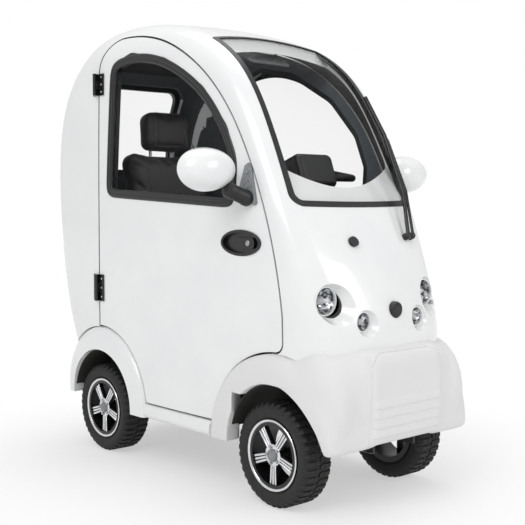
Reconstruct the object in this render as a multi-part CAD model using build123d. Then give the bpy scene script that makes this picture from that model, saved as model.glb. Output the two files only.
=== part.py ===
"""Enclosed mobility scooter with two doors, in millimetres.

X points forward, Y to the left, Z up; the ground is Z 0 and the middle of the
length lies at X 0.
"""
import os
from functools import lru_cache
from math import cos, hypot, radians, sin

from build123d import *

# Fits
SEAT_GAP = 0.3
PIN_CLEARANCE = 0.05
SHUT_GAP = 6.5
SEAM = 0.4

# Wheels and axles
FRONT_AXLE_X = 512.0
REAR_AXLE_X = -456.0
TYRE_RADIUS = 165.0
TYRE_WIDTH = 115.0
RIM_SEAT_RADIUS = 100.0
RIM_LIP_RADIUS = 112.0
RIM_WALL = 6.0
WHEEL_Y = 264.0
HUB_RADIUS = 33.0
SHAFT_RADIUS = 10.0
SPOKES = 5
SPOKE_HALF = 15.0
SPOKE_OUTER = 44.0
SPOKE_INNER = 28.0
HUB_OUTER = 46.0
HUB_INNER = 10.0
RIM_FLANGE = 5.0
SHAFT_NUT = 6.0

# Cabin shell
CABIN_HUB = (-20.0, 180.0)
CABIN_CORE = 20.0
CABIN_ROOT_HALF = 335.0
SIDE_BULGE = 6.0
WALL = 30.0
# columns: x and z on the centreline, half width, crown, corner radius
CABIN_SECTIONS = [
    (700.0, 200.0, 300.0, 60.0, 140.0),
    (750.0, 500.0, 305.0, 65.0, 150.0),
    (737.0, 617.0, 308.0, 65.0, 150.0),
    (672.0, 780.0, 312.0, 50.0, 130.0),
    (588.0, 932.0, 315.0, 28.0, 90.0),
    (462.0, 1172.0, 316.0, 22.0, 70.0),
    (288.0, 1420.0, 314.0, 22.0, 75.0),
    (108.0, 1532.0, 312.0, 22.0, 95.0),
    (-100.0, 1590.0, 316.0, 22.0, 125.0),
    (-330.0, 1612.0, 322.0, 22.0, 140.0),
    (-580.0, 1565.0, 326.0, 22.0, 140.0),
    (-735.0, 1420.0, 326.0, 24.0, 130.0),
    (-800.0, 1200.0, 326.0, 26.0, 120.0),
    (-806.0, 960.0, 326.0, 28.0, 120.0),
    (-785.0, 720.0, 326.0, 28.0, 120.0),
    (-735.0, 500.0, 324.0, 28.0, 120.0),
    (-672.0, 270.0, 320.0, 28.0, 110.0),
]
COWL_TOP_Z = 936.0
REAR_BODY_BOTTOM_Z = 240.0
REAR_TOP_Z = 1480.0
REAR_SPLIT_X = -200.0
FAR_X = 900.0
FAR_Y = 600.0
FAR_Z = 1700.0

# Wheel arches
FRONT_ARCH = (537.0, 185.0)
FRONT_ARCH_RADIUS = 209.0
FRONT_SEAM_RADIUS = 306.0
REAR_ARCH = (-430.0, 190.0)
REAR_ARCH_RADIUS = 205.0
REAR_SEAM_RADIUS = 298.0
# columns: angle round the arch, outer radius, outer y, inner y, corner radius
FRONT_WING_SECTIONS = [
    (-16.0, 230.0, 326.0, 140.0, 18.0),
    (4.0, 240.0, 332.0, 140.0, 26.0),
    (25.0, 258.0, 340.0, 140.0, 42.0),
    (45.0, 284.0, 347.0, 140.0, 66.0),
    (65.0, 297.0, 350.0, 180.0, 70.0),
    (85.0, 300.0, 351.0, 260.0, 48.0),
    (105.0, 301.0, 351.0, 288.0, 30.0),
    (130.0, 301.0, 350.0, 290.0, 22.0),
    (156.0, 301.0, 349.0, 290.0, 20.0),
    (181.0, 301.0, 348.0, 290.0, 20.0),
    (200.0, 301.0, 348.0, 290.0, 20.0),
]
REAR_WING_SECTIONS = [
    (-20.0, 293.0, 348.0, 290.0, 20.0),
    (0.0, 293.0, 348.0, 290.0, 20.0),
    (25.0, 293.0, 349.0, 290.0, 20.0),
    (50.0, 293.0, 350.0, 290.0, 22.0),
    (75.0, 293.0, 351.0, 286.0, 26.0),
    (100.0, 292.0, 351.0, 270.0, 34.0),
    (125.0, 290.0, 349.0, 235.0, 46.0),
    (150.0, 285.0, 344.0, 202.0, 54.0),
    (178.0, 272.0, 335.0, 195.0, 50.0),
    (194.0, 266.0, 332.0, 195.0, 48.0),
]
WING_FRONT_BOTTOM_Z = 203.0
WING_REAR_BOTTOM_Z = 204.0
REAR_WING_INNER_Y = 194.0
LINER_THICK = 4.0
LINER_INNER_Y = 122.0
REAR_LINER_INNER_Y = 196.0
LINER_OUTER_Y = 330.0
LINER_FOOT_Z = 236.5
STEER_ROOM_RADIUS = 184.0

# Sill
SILL_TOP_Z = 230.0
SILL_BOTTOM_Z = 180.0
SILL_OUTER_Y = 348.0
SILL_INNER_Y = 250.0

# Nose
NOSE_FRONT_X = 800.0
NOSE_HALF = 160.0
NOSE_TOP_Z = 502.0
NOSE_BOTTOM_Z = 214.0
NOSE_DEPTH = 90.0
GRILLE_HALF = 132.0
GRILLE_TOP_Z = 470.0
GRILLE_BOTTOM_Z = 236.0
GRILLE_DEPTH = 14.0
GRILLE_PROUD = 8.0
GRILLE_RIBS = 5

# Doors
DOOR_REAR_X = -438.0
DOOR_BEND_Z = 1420.0
DOOR_TOP = (-310.0, 1548.0)
DOOR_FRONT_HIGH = (360.0, 1172.0)
DOOR_FRONT_LOW = (558.0, 600.0)
DOOR_BOTTOM_Z = 236.0
DOOR_CORNER = 30.0
DOOR_LOW_CORNER = 14.0
HINGE_X = -441.0
HINGE_Y = 350.0
HINGE_BARREL_RADIUS = 6.5
HINGE_PIN_RADIUS = 3.5
HINGE_LEAF = 4.0
HINGE_LEAF_WIDTH = 30.0
LEAF_EDGE = 1.0
KNUCKLE_GAP = 1.0
WEB_WIDE = 10.0
# columns: middle z, height
HINGES = [(630.0, 100.0), (1390.0, 80.0)]

# Door window, corner points of its outline and their rounding
DOOR_WINDOW = [
    (-380.0, 978.0, 30.0),
    (-356.0, 1452.0, 40.0),
    (-234.0, 1488.0, 60.0),
    (-40.0, 1452.0, 150.0),
    (175.0, 1335.0, 150.0),
    (303.0, 1197.0, 90.0),
    (350.0, 1080.0, 40.0),
    (338.0, 940.0, 30.0),
]
SEAL_WIDTH = 20.0
SEAL_PROUD = 3.0
GLASS = 5.0
DOOR_GLASS_DEPTH = 10.0

# Windscreen, in its own plane: y half widths and heights along the slope
SCREEN_MID = (350.0, 1223.0)
SCREEN_NORMAL = (0.8, 0.6)
SCREEN_LOW_HALF = 276.0
SCREEN_LOW = -354.0
SCREEN_LOW_MID = -372.0
SCREEN_TOP_HALF = 250.0
SCREEN_TOP = 361.0
SCREEN_TOP_MID = 390.0
SCREEN_LOW_CORNER = 50.0
SCREEN_TOP_CORNER = 20.0
SCREEN_DEPTH = 2.0

# Rear window
REAR_WINDOW_HALF = 250.0
REAR_WINDOW_LOW_Z = 1070.0
REAR_WINDOW_TOP_Z = 1440.0
REAR_WINDOW_CORNER = 60.0

# Door handle and mirrors
HANDLE = (374.0, 823.0)
HANDLE_LONG = 96.0
HANDLE_TALL = 42.0
HANDLE_DEPTH = 14.0
HANDLE_RIM = 9.0
HANDLE_FLOOR = 3.0
HANDLE_PROUD = 2.0
PADDLE = (388.0, 823.0)
PADDLE_LONG = 104.0
PADDLE_TALL = 34.0
MIRROR = (400.0, 475.0, 1052.0)
MIRROR_HALF_Y = 90.0
MIRROR_HALF_Z = 66.0
MIRROR_DEEP = 74.0
MIRROR_FOOT = (432.0, 958.0)
MIRROR_FOOT_RADIUS = 24.0
MIRROR_ARM_RADIUS = 11.0
MIRROR_ARM_IN = 30.0
MIRROR_ARM_DOWN = 30.0
MIRROR_FOOT_THICK = 8.0

# Lamps: columns x, y, z, radius, axis elevation
HEADLAMP = (659.0, 228.0, 652.0)
HEADLAMP_RADIUS = 42.0
FOG_LAMP = (718.0, 124.0, 586.0)
FOG_RADIUS = 29.0
LAMP_RING = 5.0
LAMP_DEPTH = 60.0
LAMP_SINK = 8.0
LENS_PROUD = 2.0
CAP = (737.0, 0.0, 617.0)
CAP_RADIUS = 26.0
CAP_PROUD = 8.0
WASHER = (640.0, -94.0, 826.0)
WASHER_RADIUS = 17.0
TAIL_LAMP_Y = 230.0
TAIL_LAMP_Z = 800.0
TAIL_LAMP_HALF_Y = 40.0
TAIL_LAMP_HALF_Z = 90.0

# Wiper
WIPER_FOOT = (640.0, 170.0, 838.0)
WIPER_ARM_RADIUS = 4.0
WIPER_LIFT = 14.0
WASHER_PROUD = 9.0
WIPER_POINTS = [(646.0, 170.0, 846.0), (590.0, 205.0, 986.0), (490.0, 222.0, 1180.0), (398.0, 224.0, 1316.0)]

# Frame under the floor
RAIL_Y = 95.0
RAIL_SIZE = 40.0
RAIL_BOTTOM_Z = 190.0
RAIL_FRONT_X = 690.0
RAIL_REAR_X = -700.0
# columns: x, half length
CROSS_MEMBERS = [(-682.0, 180.0), (-190.0, 240.0), (150.0, 240.0), (670.0, 120.0)]
CROSS_SIZE = 28.0
EYE_RADIUS = 11.0
EYE_PLATE = 10.0
EYE_HALF = 24.0
EYE_TALL = 34.0
EYE_Z = 195.0
FLOOR_THICK = 6.0
FLOOR_HALF = 298.0
FLOOR_FRONT_X = 690.0
FLOOR_REAR_X = -600.0

# Steering
KINGPIN_Y = 246.0
KINGPIN_RADIUS = 9.0
BOSS_RADIUS = 17.0
BOSS_HALF = 20.0
LUG_THICK = 11.0
LUG_GAP = 1.0
ARM_LENGTH = 60.0
TIE_RADIUS = 7.0
TIE_EYE_RADIUS = 10.0
TIE_PIN_RADIUS = 4.0
BEAM_HALF = 18.0
TONGUE_REACH = 70.0
DROP_GAP = 9.0
YOKE_THICK = 8.0
COLUMN_FOOT_Z = 262.0
COLUMN_GAP = 14.0
BUSH_START = 30.0
BUSH_LONG = 70.0
BUSH_WALL = 8.0
COLUMN_HEAD = (352.0, 985.0)
COLUMN_RADIUS = 24.0
SHAFT_LOW_RADIUS = 12.0
HEAD_DEEP = 110.0
HEAD_WIDE = 170.0
HEAD_TALL = 120.0
HEAD_LEAN = -20.0
HEAD_ROUND = 24.0
BAR_HALF = 215.0
BAR_BACK = 110.0
BAR_INNER = 130.0
BAR_RADIUS = 12.0

# Rear axle
AXLE_TUBE_RADIUS = 24.0
AXLE_TUBE_HALF = 200.0
GEAR_RADIUS = 62.0
GEAR_HALF = 70.0
MOTOR_RADIUS = 52.0
MOTOR_LONG = 200.0

# Seat
SEAT_X = -190.0
SEAT_LONG = 420.0
SEAT_WIDE = 430.0
SEAT_THICK = 110.0
SEAT_TOP_Z = 610.0
BACK_TALL = 540.0
BACK_THICK = 100.0
BACK_WIDE = 420.0
BACK_LEAN = 10.0
BACK_FOOT_X = -400.0
REST_WIDE = 210.0
REST_TALL = 150.0
REST_THICK = 96.0
REST_Z = 1236.0
BATTERY_LONG = 300.0
BATTERY_WIDE = 330.0
BATTERY_TALL = 190.0
BASE_WALL = 8.0
CUSHION_ROUND = 34.0
POST_Y = 50.0
POST_RADIUS = 6.0
POST_LONG = 150.0
SPINE_THICK = 16.0
SPINE_REACH = 44.0
SPINE_DROP = 60.0
SPINE_RISE = 110.0
DASH_REAR_X = 440.0
DASH_Z = 918.0
DASH_THICK = 18.0
TAIL_PROUD = 8.0

BODY = {}


def fan_plane(hub, turn_x, turn_z):
    """Plane through a transverse axis, its local X pointing along the given direction."""
    size = hypot(turn_x, turn_z)
    along = (turn_x / size, 0, turn_z / size)
    return Plane(origin=(hub[0], 0, hub[1]), x_dir=along, z_dir=(-along[2], 0, along[0]))


def side_prism(face, low, high):
    """Solid of a side-view outline between two Y values."""
    return extrude(Plane.XZ.offset(-high) * face, high - low, dir=(0, -1, 0))


def block(low, high):
    """Box between two corners."""
    size = [b - a for a, b in zip(low, high)]
    middle = [(a + b) / 2 for a, b in zip(low, high)]
    return Pos(*middle) * Box(*size)


def area(low_x, low_z, high_x, high_z):
    """Rectangle of the side view between two corners."""
    return Pos((low_x + high_x) / 2, (low_z + high_z) / 2) * Rectangle(high_x - low_x, high_z - low_z)


def largest_face(sketch):
    """The biggest face of a cut outline."""
    return max(sketch.faces(), key=lambda face: face.area)


def both(piece):
    """A right-hand piece with its mirror image on the left."""
    return piece + mirror(piece, about=Plane.XZ)


def left_of(piece):
    """The left-hand twin of a right-hand piece."""
    return mirror(piece, about=Plane.XZ)


def rod(start, end, radius):
    """Round bar between two points."""
    line = Line(start, end)
    return extrude(Plane(origin=start, z_dir=line % 0) * Circle(radius), line.length)


def cross_disc(x, z, radius, low, high):
    """Disc about a transverse axis between two Y values."""
    return side_prism(Pos(x, z) * Circle(radius), low, high)


def block_tube(x, y, low, high, radius):
    """Upright round bar between two heights."""
    return Pos(x, y, (low + high) / 2) * Cylinder(radius, high - low)


def largest(piece):
    """The biggest solid of a cut piece."""
    return max(piece.solids(), key=lambda solid: solid.volume)


@lru_cache(maxsize=None)
def cabin(inset):
    """Solid inside the cabin's outer surface moved inward by the inset."""
    faces = []
    last = len(CABIN_SECTIONS) - 1
    for index, (x, z, half, crown, corner) in enumerate(CABIN_SECTIONS):
        before = CABIN_SECTIONS[max(index - 1, 0)]
        after = CABIN_SECTIONS[min(index + 1, last)]
        step_x = after[0] - before[0]
        step_z = after[1] - before[1]
        step = hypot(step_x, step_z)
        in_x = x - step_z / step * inset
        in_z = z + step_x / step * inset
        plane = fan_plane(CABIN_HUB, in_x - CABIN_HUB[0], in_z - CABIN_HUB[1])
        reach = hypot(in_x - CABIN_HUB[0], in_z - CABIN_HUB[1])
        root = CABIN_ROOT_HALF - inset
        wide = half - inset
        shoulder = reach - crown
        middle = (CABIN_CORE + shoulder) / 2
        bulge = (root + wide) / 2 + SIDE_BULGE
        outline = make_face([
            ThreePointArc((CABIN_CORE, -root), (middle, -bulge), (shoulder, -wide)),
            ThreePointArc((shoulder, -wide), (reach, 0), (shoulder, wide)),
            ThreePointArc((shoulder, wide), (middle, bulge), (CABIN_CORE, root)),
            Line((CABIN_CORE, root), (CABIN_CORE, -root)),
        ])
        corners = outline.vertices().sort_by(Axis.X)[-2:]
        faces.append(plane * fillet(corners, corner - inset))
    return loft(faces)


def conform(prism, outer, inner):
    """The part of a prism between two surfaces that follow the cabin's skin."""
    return (prism & cabin(outer)) - cabin(inner)


def skin_y(x, z):
    """Y of the cabin's right-hand side at a place in side view."""
    probe = block((x - 1, -FAR_Y, z - 1), (x + 1, -CABIN_ROOT_HALF / 2, z + 1))
    return (probe & cabin(0)).bounding_box().min.Y


def wing(arch, arch_radius, seam_radius, sections):
    """Right-hand wing round a wheel arch, inside the seam with the cabin."""
    faces = []
    for angle, outer, outer_y, inner_y, corner in sections:
        plane = fan_plane(arch, cos(radians(angle)), sin(radians(angle)))
        outline = make_face(Polyline((arch_radius, -outer_y), (outer, -outer_y), (outer, -inner_y),
                                     (arch_radius, -inner_y), (arch_radius, -outer_y)))
        edge = outline.vertices().sort_by(Axis.X)[-2:].sort_by(Axis.Y)[0]
        faces.append(plane * fillet(edge, min(corner, (outer - arch_radius) * 0.9)))
    band = loft(faces) & cross_disc(*arch, seam_radius, -FAR_Y, 0)
    return band - cross_disc(*arch, arch_radius, -FAR_Y, 0)


# Door outline in side view
bend = TangentArc((DOOR_REAR_X, DOOR_BEND_Z), DOOR_TOP, tangent=(0, 1))
brow = TangentArc(DOOR_TOP, DOOR_FRONT_HIGH, tangent=bend % 1)
pillar = TangentArc(DOOR_FRONT_HIGH, DOOR_FRONT_LOW, tangent=brow % 1)
foot_x = DOOR_FRONT_LOW[0] + 6
door_face = make_face([
    Line((DOOR_REAR_X, DOOR_BOTTOM_Z), (DOOR_REAR_X, DOOR_BEND_Z)),
    bend,
    brow,
    pillar,
    Line(DOOR_FRONT_LOW, (foot_x, DOOR_BOTTOM_Z)),
    Line((foot_x, DOOR_BOTTOM_Z), (DOOR_REAR_X, DOOR_BOTTOM_Z)),
])
door_face -= Pos(*FRONT_ARCH) * Circle(FRONT_SEAM_RADIUS)
door_face -= Pos(*REAR_ARCH) * Circle(REAR_SEAM_RADIUS)
low_corners = door_face.vertices().sort_by(Axis.Y)[:2]
door_face = fillet(low_corners, DOOR_LOW_CORNER)
front_corner = door_face.vertices().sort_by_distance((foot_x, FRONT_ARCH[1] + FRONT_SEAM_RADIUS))[0]
door_face = fillet(front_corner, DOOR_CORNER)
opening_face = offset(door_face, amount=SHUT_GAP)

# Door window outline
window_points = [(x, z) for x, z, corner in DOOR_WINDOW]
window_face = make_face(Polyline(*window_points, close=True))
for x, z, corner in DOOR_WINDOW:
    vertex = window_face.vertices().sort_by_distance((x, z))[0]
    window_face = fillet(vertex, corner)
glass_face = offset(window_face, amount=-SEAL_WIDTH)

# Doors
door_side = (-FAR_Y, -CABIN_ROOT_HALF / 2)
door = conform(side_prism(door_face, *door_side), 0, WALL)
door -= side_prism(window_face, *door_side)
door_glass = conform(side_prism(glass_face, *door_side), DOOR_GLASS_DEPTH, DOOR_GLASS_DEPTH + GLASS)
seal_ring = side_prism(window_face, *door_side) - side_prism(glass_face, *door_side)
door_seal = conform(seal_ring, -SEAL_PROUD, WALL)

# Handle in an oval pocket of the door
pocket_face = Pos(*HANDLE) * Ellipse(HANDLE_LONG, HANDLE_TALL)
handle_face = Pos(*HANDLE) * Ellipse(HANDLE_LONG - SEAT_GAP, HANDLE_TALL - SEAT_GAP)
hand_face = Pos(*HANDLE) * Ellipse(HANDLE_LONG - HANDLE_RIM, HANDLE_TALL - HANDLE_RIM)
paddle_face = Pos(*PADDLE) * RectangleRounded(PADDLE_LONG, PADDLE_TALL, PADDLE_TALL * 0.4)
handle_y = skin_y(*HANDLE)
handle_base = handle_y + HANDLE_DEPTH
door -= side_prism(pocket_face, handle_y - HANDLE_DEPTH, handle_base)
handle = side_prism(handle_face, handle_y - HANDLE_PROUD, handle_base - SEAT_GAP)
handle -= side_prism(hand_face, handle_y - HANDLE_DEPTH, handle_base - HANDLE_FLOOR)
handle += side_prism(paddle_face, handle_y, handle_base - SEAT_GAP)

# Hinges, the middle knuckle on the door
door_leaves = Part()
body_leaves = Part()
near = SHUT_GAP / 2 + LEAF_EDGE
for hinge_z, tall in HINGES:
    place = Pos(HINGE_X, -HINGE_Y, hinge_z)
    third = tall / 3
    barrel = place * Cylinder(HINGE_BARREL_RADIUS, tall)
    clear = place * Cylinder(HINGE_BARREL_RADIUS + KNUCKLE_GAP, tall)
    bore = place * Cylinder(HINGE_PIN_RADIUS + PIN_CLEARANCE, tall)
    pin = place * Cylinder(HINGE_PIN_RADIUS, tall)
    middle = place * Box(4 * HINGE_LEAF_WIDTH, 4 * HINGE_LEAF_WIDTH, third)
    gap = place * Box(4 * HINGE_LEAF_WIDTH, 4 * HINGE_LEAF_WIDTH, third + 2 * KNUCKLE_GAP)
    webs = []
    leaves = []
    for side in (1, -1):
        leaf_x = HINGE_X + side * (near + HINGE_LEAF_WIDTH / 2)
        leaf_in = min(skin_y(leaf_x, hinge_z - tall / 2), skin_y(leaf_x, hinge_z + tall / 2), skin_y(leaf_x, hinge_z))
        leaf_in -= SEAT_GAP
        leaf_face = Pos(leaf_x, hinge_z) * Rectangle(HINGE_LEAF_WIDTH, tall)
        leaves.append(side_prism(leaf_face, leaf_in - HINGE_LEAF, leaf_in) - clear)
        web_x = sorted((HINGE_X, HINGE_X + side * WEB_WIDE))
        webs.append(block((web_x[0], -HINGE_Y, hinge_z - tall / 2), (web_x[1], leaf_in, hinge_z + tall / 2)))
    door_leaves += leaves[0] + (((barrel + webs[0]) & middle) - bore)
    body_leaves += leaves[1] + ((barrel + webs[1]) - gap) + pin

# Door mirror on its foot
mirror_x, mirror_y, mirror_z = MIRROR
dome = make_face([
    Line((0, 0), (0, MIRROR_HALF_Y)),
    ThreePointArc((0, MIRROR_HALF_Y), (MIRROR_DEEP * 0.72, MIRROR_HALF_Y * 0.66), (MIRROR_DEEP, 0)),
    Line((MIRROR_DEEP, 0), (0, 0)),
])
dome = revolve(dome, Axis.X)
dome = scale(dome, by=(1, 1, MIRROR_HALF_Z / MIRROR_HALF_Y))
head = Pos(mirror_x - MIRROR_DEEP / 2, -mirror_y, mirror_z) * dome
foot = conform(side_prism(Pos(*MIRROR_FOOT) * Circle(MIRROR_FOOT_RADIUS), *door_side), -SEAT_GAP - MIRROR_FOOT_THICK, -SEAT_GAP)
arm = rod((MIRROR_FOOT[0], -CABIN_ROOT_HALF, MIRROR_FOOT[1]), (mirror_x, MIRROR_ARM_IN - mirror_y, mirror_z - MIRROR_ARM_DOWN), MIRROR_ARM_RADIUS)
arm -= cabin(-SEAT_GAP)
door_mirror = head + foot + arm

# Lower body
front_wing = wing(FRONT_ARCH, FRONT_ARCH_RADIUS, FRONT_SEAM_RADIUS - SHUT_GAP, FRONT_WING_SECTIONS)
front_wing -= block((0, -FAR_Y, -FAR_Y), (FRONT_ARCH[0], 0, SILL_BOTTOM_Z))
front_wing -= block((FRONT_ARCH[0], -FAR_Y, -FAR_Y), (1000, 0, WING_FRONT_BOTTOM_Z))
rear_wing = wing(REAR_ARCH, REAR_ARCH_RADIUS, REAR_SEAM_RADIUS - SHUT_GAP, REAR_WING_SECTIONS)
rear_wing -= block((REAR_ARCH[0], -FAR_Y, -FAR_Y), (0, 0, SILL_BOTTOM_Z))
rear_wing -= block((-1000, -FAR_Y, -FAR_Y), (REAR_ARCH[0], 0, WING_REAR_BOTTOM_Z))
nose_profile = make_face([
    Line((NOSE_FRONT_X - NOSE_DEPTH, NOSE_BOTTOM_Z), (NOSE_FRONT_X - 12, NOSE_BOTTOM_Z)),
    ThreePointArc((NOSE_FRONT_X - 12, NOSE_BOTTOM_Z), (NOSE_FRONT_X, NOSE_TOP_Z - 140), (NOSE_FRONT_X - 6, NOSE_TOP_Z - 30)),
    ThreePointArc((NOSE_FRONT_X - 6, NOSE_TOP_Z - 30), (NOSE_FRONT_X - 18, NOSE_TOP_Z - 8), (NOSE_FRONT_X - 46, NOSE_TOP_Z)),
    Line((NOSE_FRONT_X - 46, NOSE_TOP_Z), (NOSE_FRONT_X - NOSE_DEPTH, NOSE_TOP_Z)),
    Line((NOSE_FRONT_X - NOSE_DEPTH, NOSE_TOP_Z), (NOSE_FRONT_X - NOSE_DEPTH, NOSE_BOTTOM_Z)),
])
nose = side_prism(nose_profile, -NOSE_HALF, NOSE_HALF)
steer_room = Pos(FRONT_AXLE_X, -KINGPIN_Y, TYRE_RADIUS) * Cylinder(STEER_ROOM_RADIUS, 2 * TYRE_RADIUS + 30)
front_wings = both(front_wing - steer_room) + nose
grille_cut = block((NOSE_FRONT_X - GRILLE_DEPTH - 16, -GRILLE_HALF, GRILLE_BOTTOM_Z), (NOSE_FRONT_X + 40, GRILLE_HALF, GRILLE_TOP_Z))
front_wings -= grille_cut

# Grille panel with level ribs
grille = block((NOSE_FRONT_X - GRILLE_DEPTH - 16 + SEAT_GAP, -GRILLE_HALF + SEAT_GAP, GRILLE_BOTTOM_Z + SEAT_GAP),
               (NOSE_FRONT_X - 4, GRILLE_HALF - SEAT_GAP, GRILLE_TOP_Z - SEAT_GAP))
pitch = (GRILLE_TOP_Z - GRILLE_BOTTOM_Z) / GRILLE_RIBS
for index in range(GRILLE_RIBS):
    rib_z = GRILLE_BOTTOM_Z + (index + 0.5) * pitch
    rib = block((NOSE_FRONT_X - 10, -GRILLE_HALF + 14, rib_z - pitch * 0.3), (NOSE_FRONT_X + GRILLE_PROUD, GRILLE_HALF - 14, rib_z + pitch * 0.3))
    grille += fillet(rib.edges().group_by(Axis.X)[-1], 6)

# Windscreen and rear window outlines
screen_plane = Plane(origin=(SCREEN_MID[0], 0, SCREEN_MID[1]), x_dir=(0, 1, 0), z_dir=(SCREEN_NORMAL[0], 0, SCREEN_NORMAL[1]))
screen_face = make_face([
    ThreePointArc((-SCREEN_LOW_HALF, SCREEN_LOW), (0, SCREEN_LOW_MID), (SCREEN_LOW_HALF, SCREEN_LOW)),
    Line((SCREEN_LOW_HALF, SCREEN_LOW), (SCREEN_TOP_HALF, SCREEN_TOP)),
    ThreePointArc((SCREEN_TOP_HALF, SCREEN_TOP), (0, SCREEN_TOP_MID), (-SCREEN_TOP_HALF, SCREEN_TOP)),
    Line((-SCREEN_TOP_HALF, SCREEN_TOP), (-SCREEN_LOW_HALF, SCREEN_LOW)),
])
screen_face = fillet(screen_face.vertices().sort_by(Axis.Y)[:2], SCREEN_LOW_CORNER)
screen_face = fillet(screen_face.vertices().sort_by(Axis.Y)[-2:], SCREEN_TOP_CORNER)
screen_pane = offset(screen_face, amount=-SEAL_WIDTH)
screen_prism = extrude(screen_plane * screen_face, 420, dir=screen_plane.z_dir)
pane_prism = extrude(screen_plane * screen_pane, 420, dir=screen_plane.z_dir)

rear_plane = Plane(origin=(-1000, 0, 0), x_dir=(0, 1, 0), z_dir=(1, 0, 0))
rear_mid_z = (REAR_WINDOW_LOW_Z + REAR_WINDOW_TOP_Z) / 2
rear_tall = REAR_WINDOW_TOP_Z - REAR_WINDOW_LOW_Z
rear_face = Pos(0, rear_mid_z) * RectangleRounded(2 * REAR_WINDOW_HALF, rear_tall, REAR_WINDOW_CORNER)
rear_pane = offset(rear_face, amount=-SEAL_WIDTH)
rear_prism = extrude(rear_plane * rear_face, 500, dir=(1, 0, 0))
rear_pane_prism = extrude(rear_plane * rear_pane, 500, dir=(1, 0, 0))

# Fixed glass and its seals
windscreen = conform(pane_prism, SCREEN_DEPTH, SCREEN_DEPTH + GLASS)
rear_window = conform(rear_pane_prism, SCREEN_DEPTH, SCREEN_DEPTH + GLASS)
window_seals = conform(screen_prism - pane_prism, -SEAL_PROUD / 2, WALL / 2)
window_seals += conform(rear_prism - rear_pane_prism, -SEAL_PROUD / 2, WALL / 2)

# Cabin panels above the lower body, in side view
front_seam = Pos(*FRONT_ARCH) * Circle(FRONT_SEAM_RADIUS - SHUT_GAP + SEAM)
cowl_area = area(0, 0, FAR_X, COWL_TOP_Z)
rear_area = area(-FAR_X, REAR_BODY_BOTTOM_Z, REAR_SPLIT_X, REAR_TOP_Z)
roof_area = area(-FAR_X, COWL_TOP_Z, FAR_X, FAR_Z) - rear_area
cowl_face = cowl_area - opening_face - front_seam - area(0, 0, FAR_X, SILL_TOP_Z + SEAM)
cowl = conform(side_prism(largest_face(cowl_face), -FAR_Y, FAR_Y), 0, WALL)
cowl -= block((FRONT_AXLE_X, -NOSE_HALF - SEAM, 0), (FAR_X, NOSE_HALF + SEAM, NOSE_TOP_Z + SEAM))
rear_body = conform(side_prism(largest_face(rear_area - opening_face), -FAR_Y, FAR_Y), 0, WALL)
rear_seam_radius = REAR_SEAM_RADIUS - SHUT_GAP + SEAM
rear_body -= both(cross_disc(*REAR_ARCH, rear_seam_radius, -FAR_Y, -REAR_WING_INNER_Y + SEAM))
rear_body -= rear_prism
roof = conform(side_prism(roof_area - opening_face, -FAR_Y, FAR_Y), 0, WALL)
cowl -= screen_prism
roof -= screen_prism

# Lamps in round holes of the cowl
lamp_table = [(HEADLAMP, HEADLAMP_RADIUS), (FOG_LAMP, FOG_RADIUS)]
lamps = Part()
for (lamp_x, lamp_y, lamp_z), radius in lamp_table:
    place = Pos(lamp_x, -lamp_y, lamp_z) * Rot(0, 90, 0)
    cowl -= both(place * Cylinder(radius + LAMP_RING, 4 * LAMP_DEPTH))
    cup = place * Pos(0, 0, -LAMP_DEPTH / 2) * Cylinder(radius + LAMP_RING - SEAT_GAP, LAMP_DEPTH)
    lens = place * Pos(0, 0, -LAMP_DEPTH / 2) * Cylinder(radius, LAMP_DEPTH + 2 * LENS_PROUD)
    lamps += both((cup & cabin(LAMP_SINK)) + lens)
cap_place = Pos(*CAP) * Rot(0, 90, 0)
cowl -= cap_place * Cylinder(CAP_RADIUS + SEAT_GAP, 4 * WALL)
cap = cap_place * Pos(0, 0, (CAP_PROUD - WALL) / 2) * Cylinder(CAP_RADIUS, WALL + CAP_PROUD)
cowl = largest(cowl)
rear_body = largest(rear_body)
roof = largest(roof)

# Sills between the wings
sill_profile = Plane.YZ * (Pos(-(SILL_OUTER_Y + SILL_INNER_Y) / 2, (SILL_TOP_Z + SILL_BOTTOM_Z) / 2)
                           * Rectangle(SILL_OUTER_Y - SILL_INNER_Y, SILL_TOP_Z - SILL_BOTTOM_Z))
sill_start = REAR_ARCH[0] + REAR_ARCH_RADIUS
sill_end = FRONT_ARCH[0] - FRONT_ARCH_RADIUS
sill = extrude(Pos(sill_start, 0, 0) * sill_profile, sill_end - sill_start, dir=(1, 0, 0))
sill = fillet(sill.edges().filter_by(Axis.X).sort_by(Axis.Y)[:2], 18)
sill -= cross_disc(*FRONT_ARCH, FRONT_SEAM_RADIUS - SHUT_GAP + SEAM, -FAR_Y, 0)
sill -= cross_disc(*REAR_ARCH, REAR_SEAM_RADIUS - SHUT_GAP + SEAM, -FAR_Y, 0)

# Arch liners
liner_table = [
    (FRONT_ARCH, FRONT_ARCH_RADIUS, LINER_INNER_Y),
    (REAR_ARCH, REAR_ARCH_RADIUS, REAR_LINER_INNER_Y),
]
liners = Part()
for arch, radius, inner_y in liner_table:
    outer = radius - SEAT_GAP
    liner = cross_disc(*arch, outer, -LINER_OUTER_Y, -inner_y)
    liner -= cross_disc(*arch, outer - LINER_THICK, -LINER_OUTER_Y, -inner_y - LINER_THICK)
    liner -= block((arch[0] - radius, -FAR_Y, -FAR_Y), (arch[0] + radius, 0, LINER_FOOT_Z))
    liner -= block((NOSE_FRONT_X - NOSE_DEPTH - SEAM, -NOSE_HALF - SEAM, 0), (FAR_X, 0, FAR_Z))
    liners += both(liner)

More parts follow.
